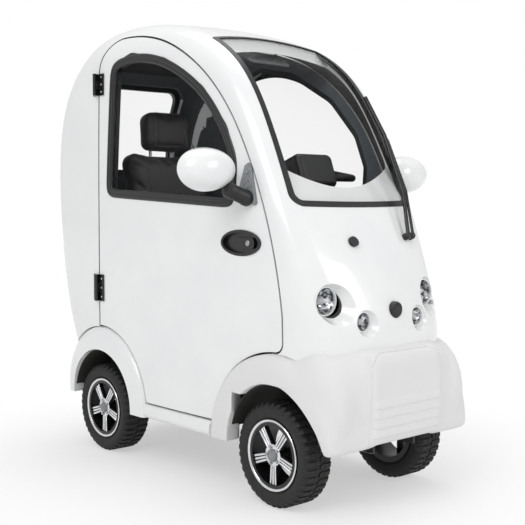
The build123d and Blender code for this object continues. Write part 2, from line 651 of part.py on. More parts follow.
# Wheels, outer face towards -Y
bead = TYRE_WIDTH / 2 - 12
half_tread = TYRE_WIDTH / 2 - 14
tyre_half = TYRE_WIDTH / 2
tyre_face = make_face([
    Line((RIM_SEAT_RADIUS, -bead), (RIM_LIP_RADIUS + 1, -bead)),
    ThreePointArc((RIM_LIP_RADIUS + 1, -bead), (TYRE_RADIUS - 26, -tyre_half), (TYRE_RADIUS - 8, -tyre_half + 5)),
    Line((TYRE_RADIUS - 8, -tyre_half + 5), (TYRE_RADIUS, -half_tread)),
    Line((TYRE_RADIUS, -half_tread), (TYRE_RADIUS, half_tread)),
    Line((TYRE_RADIUS, half_tread), (TYRE_RADIUS - 8, tyre_half - 5)),
    ThreePointArc((TYRE_RADIUS - 8, tyre_half - 5), (TYRE_RADIUS - 26, tyre_half), (RIM_LIP_RADIUS + 1, bead)),
    Line((RIM_LIP_RADIUS + 1, bead), (RIM_SEAT_RADIUS, bead)),
    Line((RIM_SEAT_RADIUS, bead), (RIM_SEAT_RADIUS, -bead)),
])
tyre = revolve(tyre_face, Axis.Y)
drop = RIM_SEAT_RADIUS - SEAT_GAP
flange = bead + SEAT_GAP
rim_inner = drop - RIM_WALL
rim_face = make_face(Polyline(
    (rim_inner, -flange - RIM_FLANGE), (RIM_LIP_RADIUS, -flange - RIM_FLANGE), (RIM_LIP_RADIUS, -flange),
    (drop, -flange), (drop, flange), (RIM_LIP_RADIUS, flange), (RIM_LIP_RADIUS, flange + RIM_FLANGE),
    (rim_inner, flange + RIM_FLANGE), close=True))
rim = revolve(rim_face, Axis.Y)
hub = cross_disc(0, 0, HUB_RADIUS, -HUB_OUTER, -HUB_INNER)
for index in range(SPOKES):
    spoke = block((HUB_RADIUS - 6, -SPOKE_OUTER, -SPOKE_HALF), (drop - RIM_WALL / 2, -SPOKE_INNER, SPOKE_HALF))
    hub += Rot(0, 90 + index * 360 / SPOKES, 0) * spoke
rim += hub
rim -= cross_disc(0, 0, SHAFT_RADIUS + PIN_CLEARANCE, -FAR_Y, FAR_Y)
wheel_table = [
    ("front", FRONT_AXLE_X),
    ("rear", REAR_AXLE_X),
]
for end, axle_x in wheel_table:
    place = Pos(axle_x, -WHEEL_Y, TYRE_RADIUS)
    BODY[f"tyre_{end}_right"] = place * tyre
    BODY[f"rim_{end}_right"] = place * rim
    BODY[f"tyre_{end}_left"] = left_of(place * tyre)
    BODY[f"rim_{end}_left"] = left_of(place * rim)
shaft_end = WHEEL_Y + HUB_OUTER + SHAFT_NUT

# Front axle beam, knuckles and track rod
beam = block((FRONT_AXLE_X - BEAM_HALF, -KINGPIN_Y, TYRE_RADIUS - BEAM_HALF),
             (FRONT_AXLE_X + BEAM_HALF, KINGPIN_Y, TYRE_RADIUS + BEAM_HALF))
boss = Pos(FRONT_AXLE_X, -KINGPIN_Y, TYRE_RADIUS) * Cylinder(BOSS_RADIUS + LUG_GAP, 4 * BOSS_HALF)
beam -= both(boss)
boss = Pos(FRONT_AXLE_X, -KINGPIN_Y, TYRE_RADIUS) * Cylinder(BOSS_RADIUS, 2 * BOSS_HALF)
neck = block((FRONT_AXLE_X - BEAM_HALF / 2, -KINGPIN_Y, TYRE_RADIUS - BEAM_HALF),
             (FRONT_AXLE_X + BEAM_HALF / 2, -KINGPIN_Y + 2 * BOSS_RADIUS, TYRE_RADIUS + BEAM_HALF))
bore = Pos(FRONT_AXLE_X, -KINGPIN_Y, TYRE_RADIUS) * Cylinder(KINGPIN_RADIUS + PIN_CLEARANCE, 4 * BOSS_HALF)
front_axle = beam + both((boss + neck) - bore)
saddle = block((FRONT_AXLE_X - BEAM_HALF, -RAIL_Y - RAIL_SIZE / 2, TYRE_RADIUS),
               (FRONT_AXLE_X + BEAM_HALF, -RAIL_Y + RAIL_SIZE / 2, RAIL_BOTTOM_Z))
front_axle += both(saddle)

lug_low = TYRE_RADIUS - BOSS_HALF - LUG_GAP
lug_high = TYRE_RADIUS + BOSS_HALF + LUG_GAP
plate_y = KINGPIN_Y + BOSS_RADIUS + LUG_GAP
knuckle = Pos(FRONT_AXLE_X, -KINGPIN_Y, lug_low - LUG_THICK / 2) * Cylinder(BOSS_RADIUS, LUG_THICK)
knuckle += Pos(FRONT_AXLE_X, -KINGPIN_Y, lug_high + LUG_THICK / 2) * Cylinder(BOSS_RADIUS, LUG_THICK)
yoke = block((FRONT_AXLE_X - BOSS_RADIUS, -plate_y - YOKE_THICK, lug_low - LUG_THICK),
             (FRONT_AXLE_X + BOSS_RADIUS, -KINGPIN_Y, lug_high + LUG_THICK))
yoke -= block((FRONT_AXLE_X - 2 * BOSS_RADIUS, -plate_y, lug_low), (FRONT_AXLE_X + 2 * BOSS_RADIUS, 0, lug_high))
knuckle += yoke
knuckle += Pos(FRONT_AXLE_X, -KINGPIN_Y, TYRE_RADIUS) * Cylinder(KINGPIN_RADIUS, lug_high - lug_low + LUG_THICK)
knuckle += cross_disc(FRONT_AXLE_X, TYRE_RADIUS, SHAFT_RADIUS, -shaft_end, -plate_y)
tie_x = FRONT_AXLE_X + ARM_LENGTH
steer_arm = block((FRONT_AXLE_X, -KINGPIN_Y - TIE_RADIUS, lug_low - LUG_THICK), (tie_x, -KINGPIN_Y + TIE_RADIUS, lug_low))
steer_arm += Pos(tie_x, -KINGPIN_Y, lug_low - LUG_THICK / 2) * Cylinder(TIE_EYE_RADIUS, LUG_THICK)
steer_arm -= Pos(tie_x, -KINGPIN_Y, lug_low) * Cylinder(TIE_PIN_RADIUS + PIN_CLEARANCE, 4 * LUG_THICK)
knuckle += steer_arm

tie_z = lug_low + LUG_GAP + TIE_RADIUS
tie_rod = cross_disc(tie_x, tie_z, TIE_RADIUS, -KINGPIN_Y, KINGPIN_Y)
tie_eye = Pos(tie_x, -KINGPIN_Y, tie_z) * Cylinder(TIE_EYE_RADIUS, 2 * TIE_RADIUS)
tie_pin = Pos(tie_x, -KINGPIN_Y, lug_low - LUG_THICK / 2) * Cylinder(TIE_PIN_RADIUS, LUG_THICK + 6)
tie_rod += both(tie_eye + tie_pin)
tongue_x = tie_x + TONGUE_REACH
drop_x = tongue_x - ARM_LENGTH
drop_z = tie_z + TIE_RADIUS + DROP_GAP
tie_rod += block((tie_x, -TIE_EYE_RADIUS, tie_z - TIE_RADIUS), (tongue_x, TIE_EYE_RADIUS, tie_z + TIE_RADIUS))
tie_rod += Pos(tongue_x, 0, tie_z) * Cylinder(TIE_EYE_RADIUS, 2 * TIE_RADIUS)
tie_rod += Pos(tongue_x, 0, (tie_z + drop_z + LUG_THICK) / 2) * Cylinder(TIE_PIN_RADIUS, drop_z + LUG_THICK - tie_z)
drop_arm = block((drop_x, -TIE_EYE_RADIUS, drop_z), (tongue_x, TIE_EYE_RADIUS, drop_z + LUG_THICK))
drop_arm += Pos(tongue_x, 0, drop_z + LUG_THICK / 2) * Cylinder(TIE_EYE_RADIUS, LUG_THICK)
drop_arm -= Pos(tongue_x, 0, drop_z) * Cylinder(TIE_PIN_RADIUS + PIN_CLEARANCE, 4 * LUG_THICK)
drop_arm += block_tube(drop_x, 0, drop_z, COLUMN_FOOT_Z - COLUMN_GAP, SHAFT_LOW_RADIUS)

# Tiller column leaning back to its head
column_foot = (drop_x, 0, COLUMN_FOOT_Z)
column_head = (COLUMN_HEAD[0], 0, COLUMN_HEAD[1])
column_line = Line(column_foot, column_head)
column = rod(column_foot, column_head, COLUMN_RADIUS)
lean = column_line % 0
bush_plane = Plane(origin=column_foot, z_dir=lean)
column_bush = bush_plane * Pos(0, 0, BUSH_START) * extrude(Circle(COLUMN_RADIUS + BUSH_WALL), BUSH_LONG)
column_bush -= bush_plane * extrude(Circle(COLUMN_RADIUS + PIN_CLEARANCE), 2 * BUSH_LONG)
tiller_head = Pos(COLUMN_HEAD[0] - 6, 0, COLUMN_HEAD[1] + HEAD_TALL / 2) * Rot(0, HEAD_LEAN, 0) * Box(HEAD_DEEP, HEAD_WIDE, HEAD_TALL)
tiller_head = fillet(tiller_head.edges(), HEAD_ROUND)
bar_z = COLUMN_HEAD[1] + HEAD_TALL / 2
bar_path = FilletPolyline(
    (COLUMN_HEAD[0] + 10, 0, bar_z - 10), (COLUMN_HEAD[0] + 10, -BAR_HALF, bar_z - 10),
    (COLUMN_HEAD[0] - BAR_BACK, -BAR_HALF, bar_z + 10), (COLUMN_HEAD[0] - BAR_BACK, -BAR_INNER, bar_z + 16), radius=26)
bar = sweep(Plane(origin=bar_path @ 0, z_dir=bar_path % 0) * Circle(BAR_RADIUS), path=bar_path)
handlebar = both(bar) - tiller_head

# Frame
rail = block((RAIL_REAR_X, -RAIL_Y - RAIL_SIZE / 2, RAIL_BOTTOM_Z), (RAIL_FRONT_X, -RAIL_Y + RAIL_SIZE / 2, RAIL_BOTTOM_Z + RAIL_SIZE))
frame = both(rail)
cross_z = RAIL_BOTTOM_Z + RAIL_SIZE / 2
for cross_x, cross_half in CROSS_MEMBERS:
    frame += Pos(cross_x, 0, cross_z) * Box(CROSS_SIZE, 2 * cross_half, CROSS_SIZE)
for eye_x, step in ((RAIL_FRONT_X, 1), (RAIL_REAR_X, -1)):
    eye = Pos(eye_x + step * EYE_HALF * 0.75, -RAIL_Y, EYE_Z) * Box(2.5 * EYE_HALF, EYE_PLATE, EYE_TALL)
    eye -= cross_disc(eye_x + step * EYE_HALF, EYE_Z, EYE_RADIUS, -FAR_Y, FAR_Y)
    frame += both(eye)
bracket = block((drop_x - 60, -RAIL_Y, COLUMN_FOOT_Z + BUSH_START + 6), (drop_x + 20, RAIL_Y, COLUMN_FOOT_Z + BUSH_START + 30))
bracket += both(block((drop_x - 60, -RAIL_Y - 6, RAIL_BOTTOM_Z + RAIL_SIZE / 2), (drop_x + 20, -RAIL_Y + 6, COLUMN_FOOT_Z + BUSH_START + 30)))
bracket -= bush_plane * extrude(Circle(COLUMN_RADIUS + BUSH_WALL / 2), 4 * BUSH_LONG)
frame += bracket + column_bush

# Rear axle with its motor
rear_axle = cross_disc(REAR_AXLE_X, TYRE_RADIUS, AXLE_TUBE_RADIUS, -AXLE_TUBE_HALF, AXLE_TUBE_HALF)
rear_axle += cross_disc(REAR_AXLE_X, TYRE_RADIUS, GEAR_RADIUS, -GEAR_HALF, GEAR_HALF)
rear_axle += Pos(REAR_AXLE_X - MOTOR_LONG / 2, 0, TYRE_RADIUS) * Rot(0, 90, 0) * Cylinder(MOTOR_RADIUS, MOTOR_LONG)
rear_axle += cross_disc(REAR_AXLE_X, TYRE_RADIUS, SHAFT_RADIUS, -shaft_end, shaft_end)
rear_saddle = block((REAR_AXLE_X - AXLE_TUBE_RADIUS, -RAIL_Y - RAIL_SIZE / 2, TYRE_RADIUS),
                    (REAR_AXLE_X + AXLE_TUBE_RADIUS, -RAIL_Y + RAIL_SIZE / 2, RAIL_BOTTOM_Z))
rear_axle += both(rear_saddle)

# Floor, battery and seat
floor_low = RAIL_BOTTOM_Z + RAIL_SIZE
floor_top = floor_low + FLOOR_THICK
floor = block((FLOOR_REAR_X, -FLOOR_HALF, floor_low), (FLOOR_FRONT_X, FLOOR_HALF, floor_top))
floor -= both(cross_disc(*FRONT_ARCH, FRONT_ARCH_RADIUS, -FAR_Y, -LINER_INNER_Y + SEAM))
floor -= both(cross_disc(*REAR_ARCH, REAR_ARCH_RADIUS, -FAR_Y, -REAR_LINER_INNER_Y + SEAM))
floor -= front_wings
floor -= both(rear_wing)
floor -= bracket + column_bush
floor -= Pos(drop_x, 0, floor_low) * Cylinder(COLUMN_RADIUS + BUSH_WALL, 4 * FLOOR_THICK)
battery = block((SEAT_X - BATTERY_LONG / 2, -BATTERY_WIDE / 2, floor_top), (SEAT_X + BATTERY_LONG / 2, BATTERY_WIDE / 2, floor_top + BATTERY_TALL))
cushion_low = SEAT_TOP_Z - SEAT_THICK
box_gap = 10
seat_base = block((SEAT_X - BATTERY_LONG / 2 - BASE_WALL - box_gap, -BATTERY_WIDE / 2 - BASE_WALL - box_gap, floor_top),
                  (SEAT_X + BATTERY_LONG / 2 + BASE_WALL + box_gap, BATTERY_WIDE / 2 + BASE_WALL + box_gap, cushion_low))
seat_base -= block((SEAT_X - BATTERY_LONG / 2 - box_gap, -BATTERY_WIDE / 2 - box_gap, floor_top),
                   (SEAT_X + BATTERY_LONG / 2 + box_gap, BATTERY_WIDE / 2 + box_gap, floor_top + BATTERY_TALL + box_gap))
cushion = Pos(SEAT_X, 0, cushion_low + SEAT_THICK / 2) * Box(SEAT_LONG, SEAT_WIDE, SEAT_THICK)
cushion = fillet(cushion.edges(), CUSHION_ROUND)
back_place = Pos(BACK_FOOT_X, 0, cushion_low + 40) * Rot(0, -BACK_LEAN, 0)
back = back_place * Pos(-BACK_THICK / 2, 0, BACK_TALL / 2) * Box(BACK_THICK, BACK_WIDE, BACK_TALL)
back = fillet(back.edges(), CUSHION_ROUND)
back -= cushion
rest_up = REST_Z - cushion_low - 40
rest = back_place * Pos(-BACK_THICK / 2, 0, rest_up / cos(radians(BACK_LEAN))) * Box(REST_THICK, REST_WIDE, REST_TALL)
rest = fillet(rest.edges(), CUSHION_ROUND)
posts = Part()
for post_y in (-POST_Y, POST_Y):
    posts += back_place * Pos(-BACK_THICK / 2, post_y, BACK_TALL + 20) * Cylinder(POST_RADIUS, POST_LONG)
posts = posts - rest - back
spine = back_place * Pos(-BACK_THICK - SPINE_THICK / 2 - SEAT_GAP, 0, BACK_TALL / 2 - 60) * Box(SPINE_THICK, BATTERY_WIDE / 2, BACK_TALL - 200)
bracket_half = BATTERY_WIDE / 4
spine += block((BACK_FOOT_X - BACK_THICK - SPINE_REACH, -bracket_half, cushion_low - SPINE_DROP),
               (SEAT_X - BATTERY_LONG / 2, bracket_half, cushion_low - SPINE_DROP / 2))
spine += block((BACK_FOOT_X - BACK_THICK - SPINE_REACH, -bracket_half, cushion_low - SPINE_DROP),
               (BACK_FOOT_X - BACK_THICK + SPINE_THICK, bracket_half, cushion_low + SPINE_RISE))
seat_base += spine - back

# Dash shelf behind the screen
shelf = block((DASH_REAR_X, -FAR_Y, DASH_Z - DASH_THICK), (900, FAR_Y, DASH_Z)) & cabin(WALL + SEAT_GAP)
shelf -= side_prism(opening_face, -FAR_Y, FAR_Y)
shelf = largest(shelf)

# Tail lamps
tail_plane = rear_plane * Pos(-TAIL_LAMP_Y, TAIL_LAMP_Z) * RectangleRounded(2 * TAIL_LAMP_HALF_Y, 2 * TAIL_LAMP_HALF_Z, 20)
tail_lamp = conform(extrude(tail_plane, 500, dir=(1, 0, 0)), -TAIL_PROUD, -SEAT_GAP)
tail_lamps = both(tail_lamp)

# Washer nozzle and wiper
washer = conform(Pos(WASHER[0], WASHER[1], WASHER[2]) * Rot(0, 66, 0) * Cylinder(WASHER_RADIUS, 120), -WASHER_PROUD, -SEAT_GAP)
wiper_foot = conform(Pos(*WIPER_FOOT) * Rot(0, 66, 0) * Cylinder(WASHER_RADIUS, 120), -WIPER_LIFT, -SEAT_GAP)
wiper = wiper_foot
wiper_path = Polyline(*WIPER_POINTS)
for edge in wiper_path.edges():
    wiper += rod(edge @ 0, edge @ 1, WIPER_ARM_RADIUS)

BODY.update({
    "cowl": cowl,
    "rear_body": rear_body,
    "roof": roof,
    "front_wings": front_wings,
    "rear_wings": both(rear_wing),
    "sills": both(sill),
    "grille": grille,
    "windscreen": windscreen,
    "rear_window": rear_window,
    "window_seals": window_seals,
    "lamps": lamps,
    "nose_cap": cap,
    "washer_nozzle": washer,
    "wiper": wiper,
    "tail_lamps": tail_lamps,
    "body_hinges": both(body_leaves),
    "arch_liners": liners,
    "chassis_frame": frame,
    "front_axle": front_axle,
    "rear_axle": rear_axle,
    "floor_pan": floor,
    "battery": battery,
    "seat_base": seat_base,
    "seat_cushion": cushion,
    "seat_back": back,
    "headrest": rest,
    "headrest_posts": posts,
    "dash_shelf": shelf,
    "tiller_column": column - tiller_head,
    "tiller_head": tiller_head,
    "handlebar": handlebar,
    "drop_arm": drop_arm,
    "tie_rod": tie_rod,
    "knuckle_right": knuckle,
    "knuckle_left": left_of(knuckle),
})
door_pieces = [
    ("door", door),
    ("door_glass", door_glass),
    ("door_seal", door_seal),
    ("handle", handle),
    ("mirror", door_mirror),
    ("door_hinges", door_leaves),
]
for name, piece in door_pieces:
    BODY[f"{name}_right"] = piece
    BODY[f"{name}_left"] = left_of(piece)

os.makedirs("parts", exist_ok=True)
for name, solid in BODY.items():
    export_step(solid, f"parts/{name}.step")
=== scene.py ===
"""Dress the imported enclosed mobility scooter: paint, glass, trim, wheels and seat."""
import logging
import math
from contextlib import contextmanager
from dataclasses import dataclass, field
from enum import Enum
from functools import lru_cache
from typing import Callable, Iterator, Optional, Sequence

import bmesh
import bpy
from mathutils import Matrix, Vector


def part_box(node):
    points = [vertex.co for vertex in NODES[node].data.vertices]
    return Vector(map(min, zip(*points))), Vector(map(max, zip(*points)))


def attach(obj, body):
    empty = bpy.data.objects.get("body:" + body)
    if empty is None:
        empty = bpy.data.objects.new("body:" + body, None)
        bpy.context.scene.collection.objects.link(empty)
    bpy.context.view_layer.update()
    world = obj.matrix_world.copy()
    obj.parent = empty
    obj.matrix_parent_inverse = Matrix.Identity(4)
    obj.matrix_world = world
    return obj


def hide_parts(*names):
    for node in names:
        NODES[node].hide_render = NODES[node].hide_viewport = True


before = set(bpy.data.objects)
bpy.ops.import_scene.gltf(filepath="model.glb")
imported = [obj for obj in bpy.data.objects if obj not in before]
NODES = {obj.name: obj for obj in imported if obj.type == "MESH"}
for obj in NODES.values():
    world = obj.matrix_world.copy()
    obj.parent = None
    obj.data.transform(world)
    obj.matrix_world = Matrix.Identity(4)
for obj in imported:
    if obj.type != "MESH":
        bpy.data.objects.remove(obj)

log = logging.getLogger("scooter")
MM = 0.001
Place = tuple[float, float, float]
Outline = tuple[tuple[float, float], ...]
# Points nearer than this are merged, in metres
WELD = 0.00002
# Edges shorter than this are dropped, in metres
SLIVER = 0.00001
# Signs of the right and the left side
SIDES = (-1, 1)
# Where a line from outside the right side starts, in millimetres
OUTSIDE = -600.0


# Colours and nodes
def linear(code: str) -> tuple[float, float, float, float]:
    """Turn an sRGB hex colour into linear light.

    Args:
        code: the colour as #RRGGBB.

    Returns:
        Red, green, blue and an alpha of one.
    """
    parts = [int(code[at:at + 2], 16) / 255 for at in (1, 3, 5)]
    light = [c / 12.92 if c <= 0.04045 else ((c + 0.055) / 1.055) ** 2.4 for c in parts]
    return (*light, 1.0)


def add(tree: bpy.types.NodeTree, kind: str, inputs: Optional[dict] = None, **settings) -> bpy.types.Node:
    """Add one node with its settings and links.

    Args:
        tree: the material's node tree.
        kind: the node's type name.
        inputs: values or sockets by input name or number.
        **settings: properties of the node.

    Returns:
        The new node.
    """
    node = tree.nodes.new(kind)
    for key, value in settings.items():
        setattr(node, key, value)
    for key, value in (inputs or {}).items():
        if isinstance(value, bpy.types.NodeSocket):
            tree.links.new(value, node.inputs[key])
        else:
            node.inputs[key].default_value = value
    return node


class Grain(Enum):
    """The relief that a surface carries."""

    PEEL = "soft waves of sprayed or moulded gloss"
    PEBBLE = "rounded pebbles of leather cloth or moulded grain"
    FIBRE = "short tangled fibres"
    RIBS = "parallel ribs across the car"
    LATHE = "fine rings left by turning"


@dataclass(frozen=True)
class Finish:
    """One real material, with its two tones, relief and gloss."""

    name: str
    slot: str
    tone: str
    shade: str
    patch_mm: float
    rough: float
    rough_spread: float
    grain: Grain
    grain_mm: float
    depth_mm: float
    metallic: float = 0.0
    coat: float = 0.0
    sheen: float = 0.0
    contrast: tuple[float, float] = (0.35, 0.65)

    def relief(self, tree: bpy.types.NodeTree, place: bpy.types.NodeSocket) -> bpy.types.NodeSocket:
        """Make the height of the grain.

        Args:
            tree: the material's node tree.
            place: the Object coordinates.

        Returns:
            A height from nought to one.
        """
        scale = 1 / (self.grain_mm * MM)
        if self.grain is Grain.PEBBLE:
            cells = add(tree, "ShaderNodeTexVoronoi", {"Vector": place, "Scale": scale}, feature="SMOOTH_F1")
            return cells.outputs["Distance"]
        if self.grain is Grain.RIBS:
            ribs = add(tree, "ShaderNodeTexWave", {"Vector": place, "Scale": scale / 3.2, "Distortion": 0.0},
                       bands_direction="X", wave_profile="SIN")
            return ribs.outputs["Fac"]
        if self.grain is Grain.LATHE:
            reach = add(tree, "ShaderNodeAttribute", attribute_name="reach")
            rings = add(tree, "ShaderNodeMath", {0: reach.outputs["Fac"], 1: scale * 6.283},
                        operation="MULTIPLY")
            wave = add(tree, "ShaderNodeMath", {0: rings.outputs[0]}, operation="SINE")
            return wave.outputs[0]
        detail = 6.0 if self.grain is Grain.FIBRE else 1.0
        fuzz = add(tree, "ShaderNodeTexNoise", {"Vector": place, "Scale": scale, "Detail": detail,
                                                "Roughness": 0.6})
        return fuzz.outputs["Fac"]

    def surface(self, tree: bpy.types.NodeTree, place: bpy.types.NodeSocket) -> dict:
        """Make the inputs of the shader that vary over the surface.

        Args:
            tree: the material's node tree.
            place: the Object coordinates.

        Returns:
            Shader inputs by name.
        """
        cloud = add(tree, "ShaderNodeTexNoise", {"Vector": place, "Scale": 1 / (self.patch_mm * MM),
                                                 "Detail": 4.0, "Roughness": 0.55})
        tones = add(tree, "ShaderNodeValToRGB", {"Fac": cloud.outputs["Fac"]})
        first, last = tones.color_ramp.elements
        first.position, last.position = self.contrast
        first.color, last.color = linear(self.shade), linear(self.tone)
        rough = add(tree, "ShaderNodeMapRange", {"Value": cloud.outputs["Fac"],
                                                 "To Min": max(self.rough - self.rough_spread, 0.02),
                                                 "To Max": min(self.rough + self.rough_spread, 1.0)})
        bump = add(tree, "ShaderNodeBump", {"Height": self.relief(tree, place), "Strength": 1.0,
                                            "Distance": self.depth_mm * MM})
        return {"Base Color": tones.outputs["Color"], "Roughness": rough.outputs["Result"],
                "Normal": bump.outputs["Normal"]}

    @lru_cache(maxsize=None)
    def material(self) -> bpy.types.Material:
        """Build the node material once.

        Returns:
            The material.
        """
        made = bpy.data.materials.new(self.name)
        made.use_nodes = True
        tree = made.node_tree
        tree.nodes.clear()
        place = add(tree, "ShaderNodeTexCoord").outputs["Object"]
        inputs = self.surface(tree, place)
        inputs.update({"Metallic": self.metallic, "Coat Weight": self.coat, "Coat Roughness": 0.04,
                       "Sheen Weight": self.sheen, "Sheen Roughness": 0.5})
        shader = add(tree, "ShaderNodeBsdfPrincipled", inputs)
        add(tree, "ShaderNodeOutputMaterial", {"Surface": shader.outputs[0]})
        return made


@dataclass(frozen=True)
class Pane(Finish):
    """Safety glass or clear plastic: seen through square on, glossy at a glance."""

    clear: float = 0.02
    glance: float = 0.55

    def surface(self, tree: bpy.types.NodeTree, place: bpy.types.NodeSocket) -> dict:
        """Make the tint and the see-through share.

        Args:
            tree: the material's node tree.
            place: the Object coordinates.

        Returns:
            Shader inputs by name.
        """
        inputs = super().surface(tree, place)
        edge = add(tree, "ShaderNodeLayerWeight", {"Blend": 0.5})
        rise = add(tree, "ShaderNodeMath", {0: edge.outputs["Facing"], 1: 4.0}, operation="POWER")
        seen = add(tree, "ShaderNodeMapRange", {"Value": rise.outputs[0], "To Min": self.clear,
                                                "To Max": self.glance})
        inputs["Alpha"] = seen.outputs["Result"]
        return inputs


@dataclass(frozen=True)
class Banded(Finish):
    """A moulded lens whose colour changes in level bands, with upright flutes."""

    bands: tuple[tuple[float, str], ...] = ()
    low_z: float = 0.0
    high_z: float = 1.0

    def surface(self, tree: bpy.types.NodeTree, place: bpy.types.NodeSocket) -> dict:
        """Make the bands of colour.

        Args:
            tree: the material's node tree.
            place: the Object coordinates.

        Returns:
            Shader inputs by name.
        """
        inputs = super().surface(tree, place)
        split = add(tree, "ShaderNodeSeparateXYZ", {0: place})
        level = add(tree, "ShaderNodeMapRange", {"Value": split.outputs["Z"], "From Min": self.low_z,
                                                 "From Max": self.high_z})
        ramp = add(tree, "ShaderNodeValToRGB", {"Fac": level.outputs["Result"]})
        ramp.color_ramp.interpolation = "CONSTANT"
        while len(ramp.color_ramp.elements) < len(self.bands):
            ramp.color_ramp.elements.new(0.5)
        for element, (start, code) in zip(ramp.color_ramp.elements, self.bands):
            element.position = start
            element.color = linear(code)
        inputs["Base Color"] = ramp.outputs["Color"]
        return inputs


# White gel coat on moulded panels: deep gloss with a faint sprayed ripple
PAINT = Finish("gelcoat_white_gloss", "white_panel", "#F3F4F4", "#EFF0F1", 180.0, 0.22, 0.03,
               Grain.PEEL, 9.0, 0.02, coat=0.8)
# Extruded rubber seal: satin black, a little dusty
SEAL = Finish("rubber_extruded_black", "black_rubber", "#17181B", "#101113", 14.0, 0.38, 0.08,
              Grain.PEEL, 1.2, 0.04)
# Moulded black plastic with a fine spark-eroded grain
MOULDED = Finish("abs_moulded_black", "black_plastic", "#1B1C1E", "#141516", 12.0, 0.42, 0.06,
                 Grain.PEBBLE, 1.2, 0.06)
# Gloss black nylon of the handles, the hinge leaves and the wiper
GLOSS_BLACK = Finish("nylon_gloss_black", "black_plastic", "#161719", "#101113", 20.0, 0.25, 0.05,
                     Grain.PEEL, 2.0, 0.02)
# Vacuum-formed arch liner: dull dark grey with road dust
LINER = Finish("polypropylene_liner", "dark_liner", "#33332F", "#262624", 40.0, 0.62, 0.1,
               Grain.PEBBLE, 2.2, 0.12)
# Tyre rubber: matt black, browner where it has rolled
TYRE = Finish("tyre_rubber", "tyre_rubber", "#2B2927", "#1B1B1C", 16.0, 0.72, 0.1,
              Grain.PEBBLE, 1.6, 0.1)
# Cast alloy with a turned bright face
ALLOY = Finish("alloy_machined", "alloy", "#E6E7E9", "#D3D5D8", 20.0, 0.2, 0.05,
               Grain.LATHE, 0.8, 0.006, metallic=1.0)
# Black paint in the pockets of the cast wheel
POCKET = Finish("wheel_pocket_black", "alloy", "#141415", "#0E0E0F", 20.0, 0.35, 0.08,
                Grain.PEEL, 3.0, 0.03)
# Zinc-plated steel of shafts and fasteners
ZINC = Finish("steel_zinc_plated", "steel_bright", "#B9BBBC", "#9C9FA1", 9.0, 0.32, 0.08,
              Grain.PEEL, 1.5, 0.02, metallic=1.0)
# Powder-coated steel frame, slightly orange-peeled
COATED = Finish("steel_powder_coated", "steel_black", "#202122", "#18191A", 30.0, 0.46, 0.08,
                Grain.PEEL, 1.8, 0.05)
# Ribbed rubber mat on the floor
MAT = Finish("rubber_mat_ribbed", "black_rubber", "#2A2B2C", "#202122", 30.0, 0.7, 0.08,
             Grain.RIBS, 9.0, 0.9)
# Charcoal leather cloth of the seat
LEATHER = Finish("leather_cloth_charcoal", "seat_leather", "#38373A", "#2C2B2D", 22.0, 0.5, 0.07,
                 Grain.PEBBLE, 2.4, 0.22, sheen=0.15)
# Speckled needle felt of the doors and the rear body
FELT = Finish("needle_felt_grey", "dark_liner", "#6E757A", "#3E4347", 3.2, 0.95, 0.03,
              Grain.FIBRE, 2.0, 0.5, sheen=0.3, contrast=(0.38, 0.66))
# Charcoal felt of the roof and the cowl
HEADLINER = Finish("needle_felt_charcoal", "dark_liner", "#3A3838", "#292828", 3.0, 0.95, 0.03,
                   Grain.FIBRE, 2.0, 0.4, sheen=0.3)
# Battery case plastic
CASE = Finish("polypropylene_case", "battery_case", "#333437", "#292A2C", 30.0, 0.55, 0.06,
              Grain.PEBBLE, 1.5, 0.06)
# Silver-grey moulded plastic of the mirror foot and the wheel caps
SILVER = Finish("plastic_silver_grey", "black_plastic", "#8D9093", "#7E8184", 14.0, 0.4, 0.05,
                Grain.PEEL, 1.5, 0.02)
# Vacuum-metallised reflector, its colour a patchwork of painted reflections: bright and dark patches stand in
# for the surroundings that it mirrors
CHROME_PAINTED_REFLECTIONS = Finish("reflector_chrome", "lamp_lens", "#E4E6E8", "#2B2C2E", 15.0, 0.08, 0.04,
                Grain.PEBBLE, 7.0, 1.2, metallic=1.0, contrast=(0.44, 0.56))
# Silvered mirror glass
MIRROR_GLASS = Finish("mirror_glass", "lamp_lens", "#DCE0E2", "#D4D8DB", 60.0, 0.03, 0.005,
                      Grain.PEEL, 30.0, 0.002, metallic=1.0)
# Laminated windscreen and toughened door glass with a slight tint
GLASS = Pane("glass_laminated", "clear_glass", "#1C2223", "#181E1F", 120.0, 0.03, 0.005,
             Grain.PEEL, 60.0, 0.01)
# Clear polycarbonate lamp lens
LENS = Pane("polycarbonate_lens", "lamp_lens", "#C9CED2", "#BEC4C9", 30.0, 0.05, 0.01,
            Grain.PEEL, 10.0, 0.02, clear=0.03, glance=0.4)
# Smoke acrylic sun visor
SMOKE = Pane("acrylic_smoke", "clear_glass", "#6E7071", "#66686A", 60.0, 0.15, 0.02,
             Grain.PEEL, 20.0, 0.02, clear=0.6, glance=0.85)
# Frosted glass bulb in the lamp's bowl
BULB = Finish("bulb_frosted", "lamp_lens", "#D9DBDC", "#B4B8BB", 6.0, 0.3, 0.08,
              Grain.PEEL, 3.0, 0.03)
# Dark display glass on the tiller
DISPLAY = Finish("display_glass", "black_plastic", "#1A2026", "#12161A", 30.0, 0.08, 0.02,
                 Grain.PEEL, 20.0, 0.005)
# Moulded tail lamp lens in level bands
TAIL = Banded("acrylic_tail_lens", "red_lens", "#A3121A", "#8E0E15", 20.0, 0.18, 0.03,
              Grain.PEEL, 4.0, 0.2, coat=0.6, bands=((0.0, "#9B1018"), (0.36, "#D8D9DA"), (0.55, "#C96A12")),
              low_z=0.71, high_z=0.89)


# Modelling tools
def only(piece: bpy.types.Object) -> None:
    """Select one object and make it active.

    Args:
        piece: the object.
    """
    bpy.ops.object.select_all(action="DESELECT")
    piece.select_set(True)
    bpy.context.view_layer.objects.active = piece


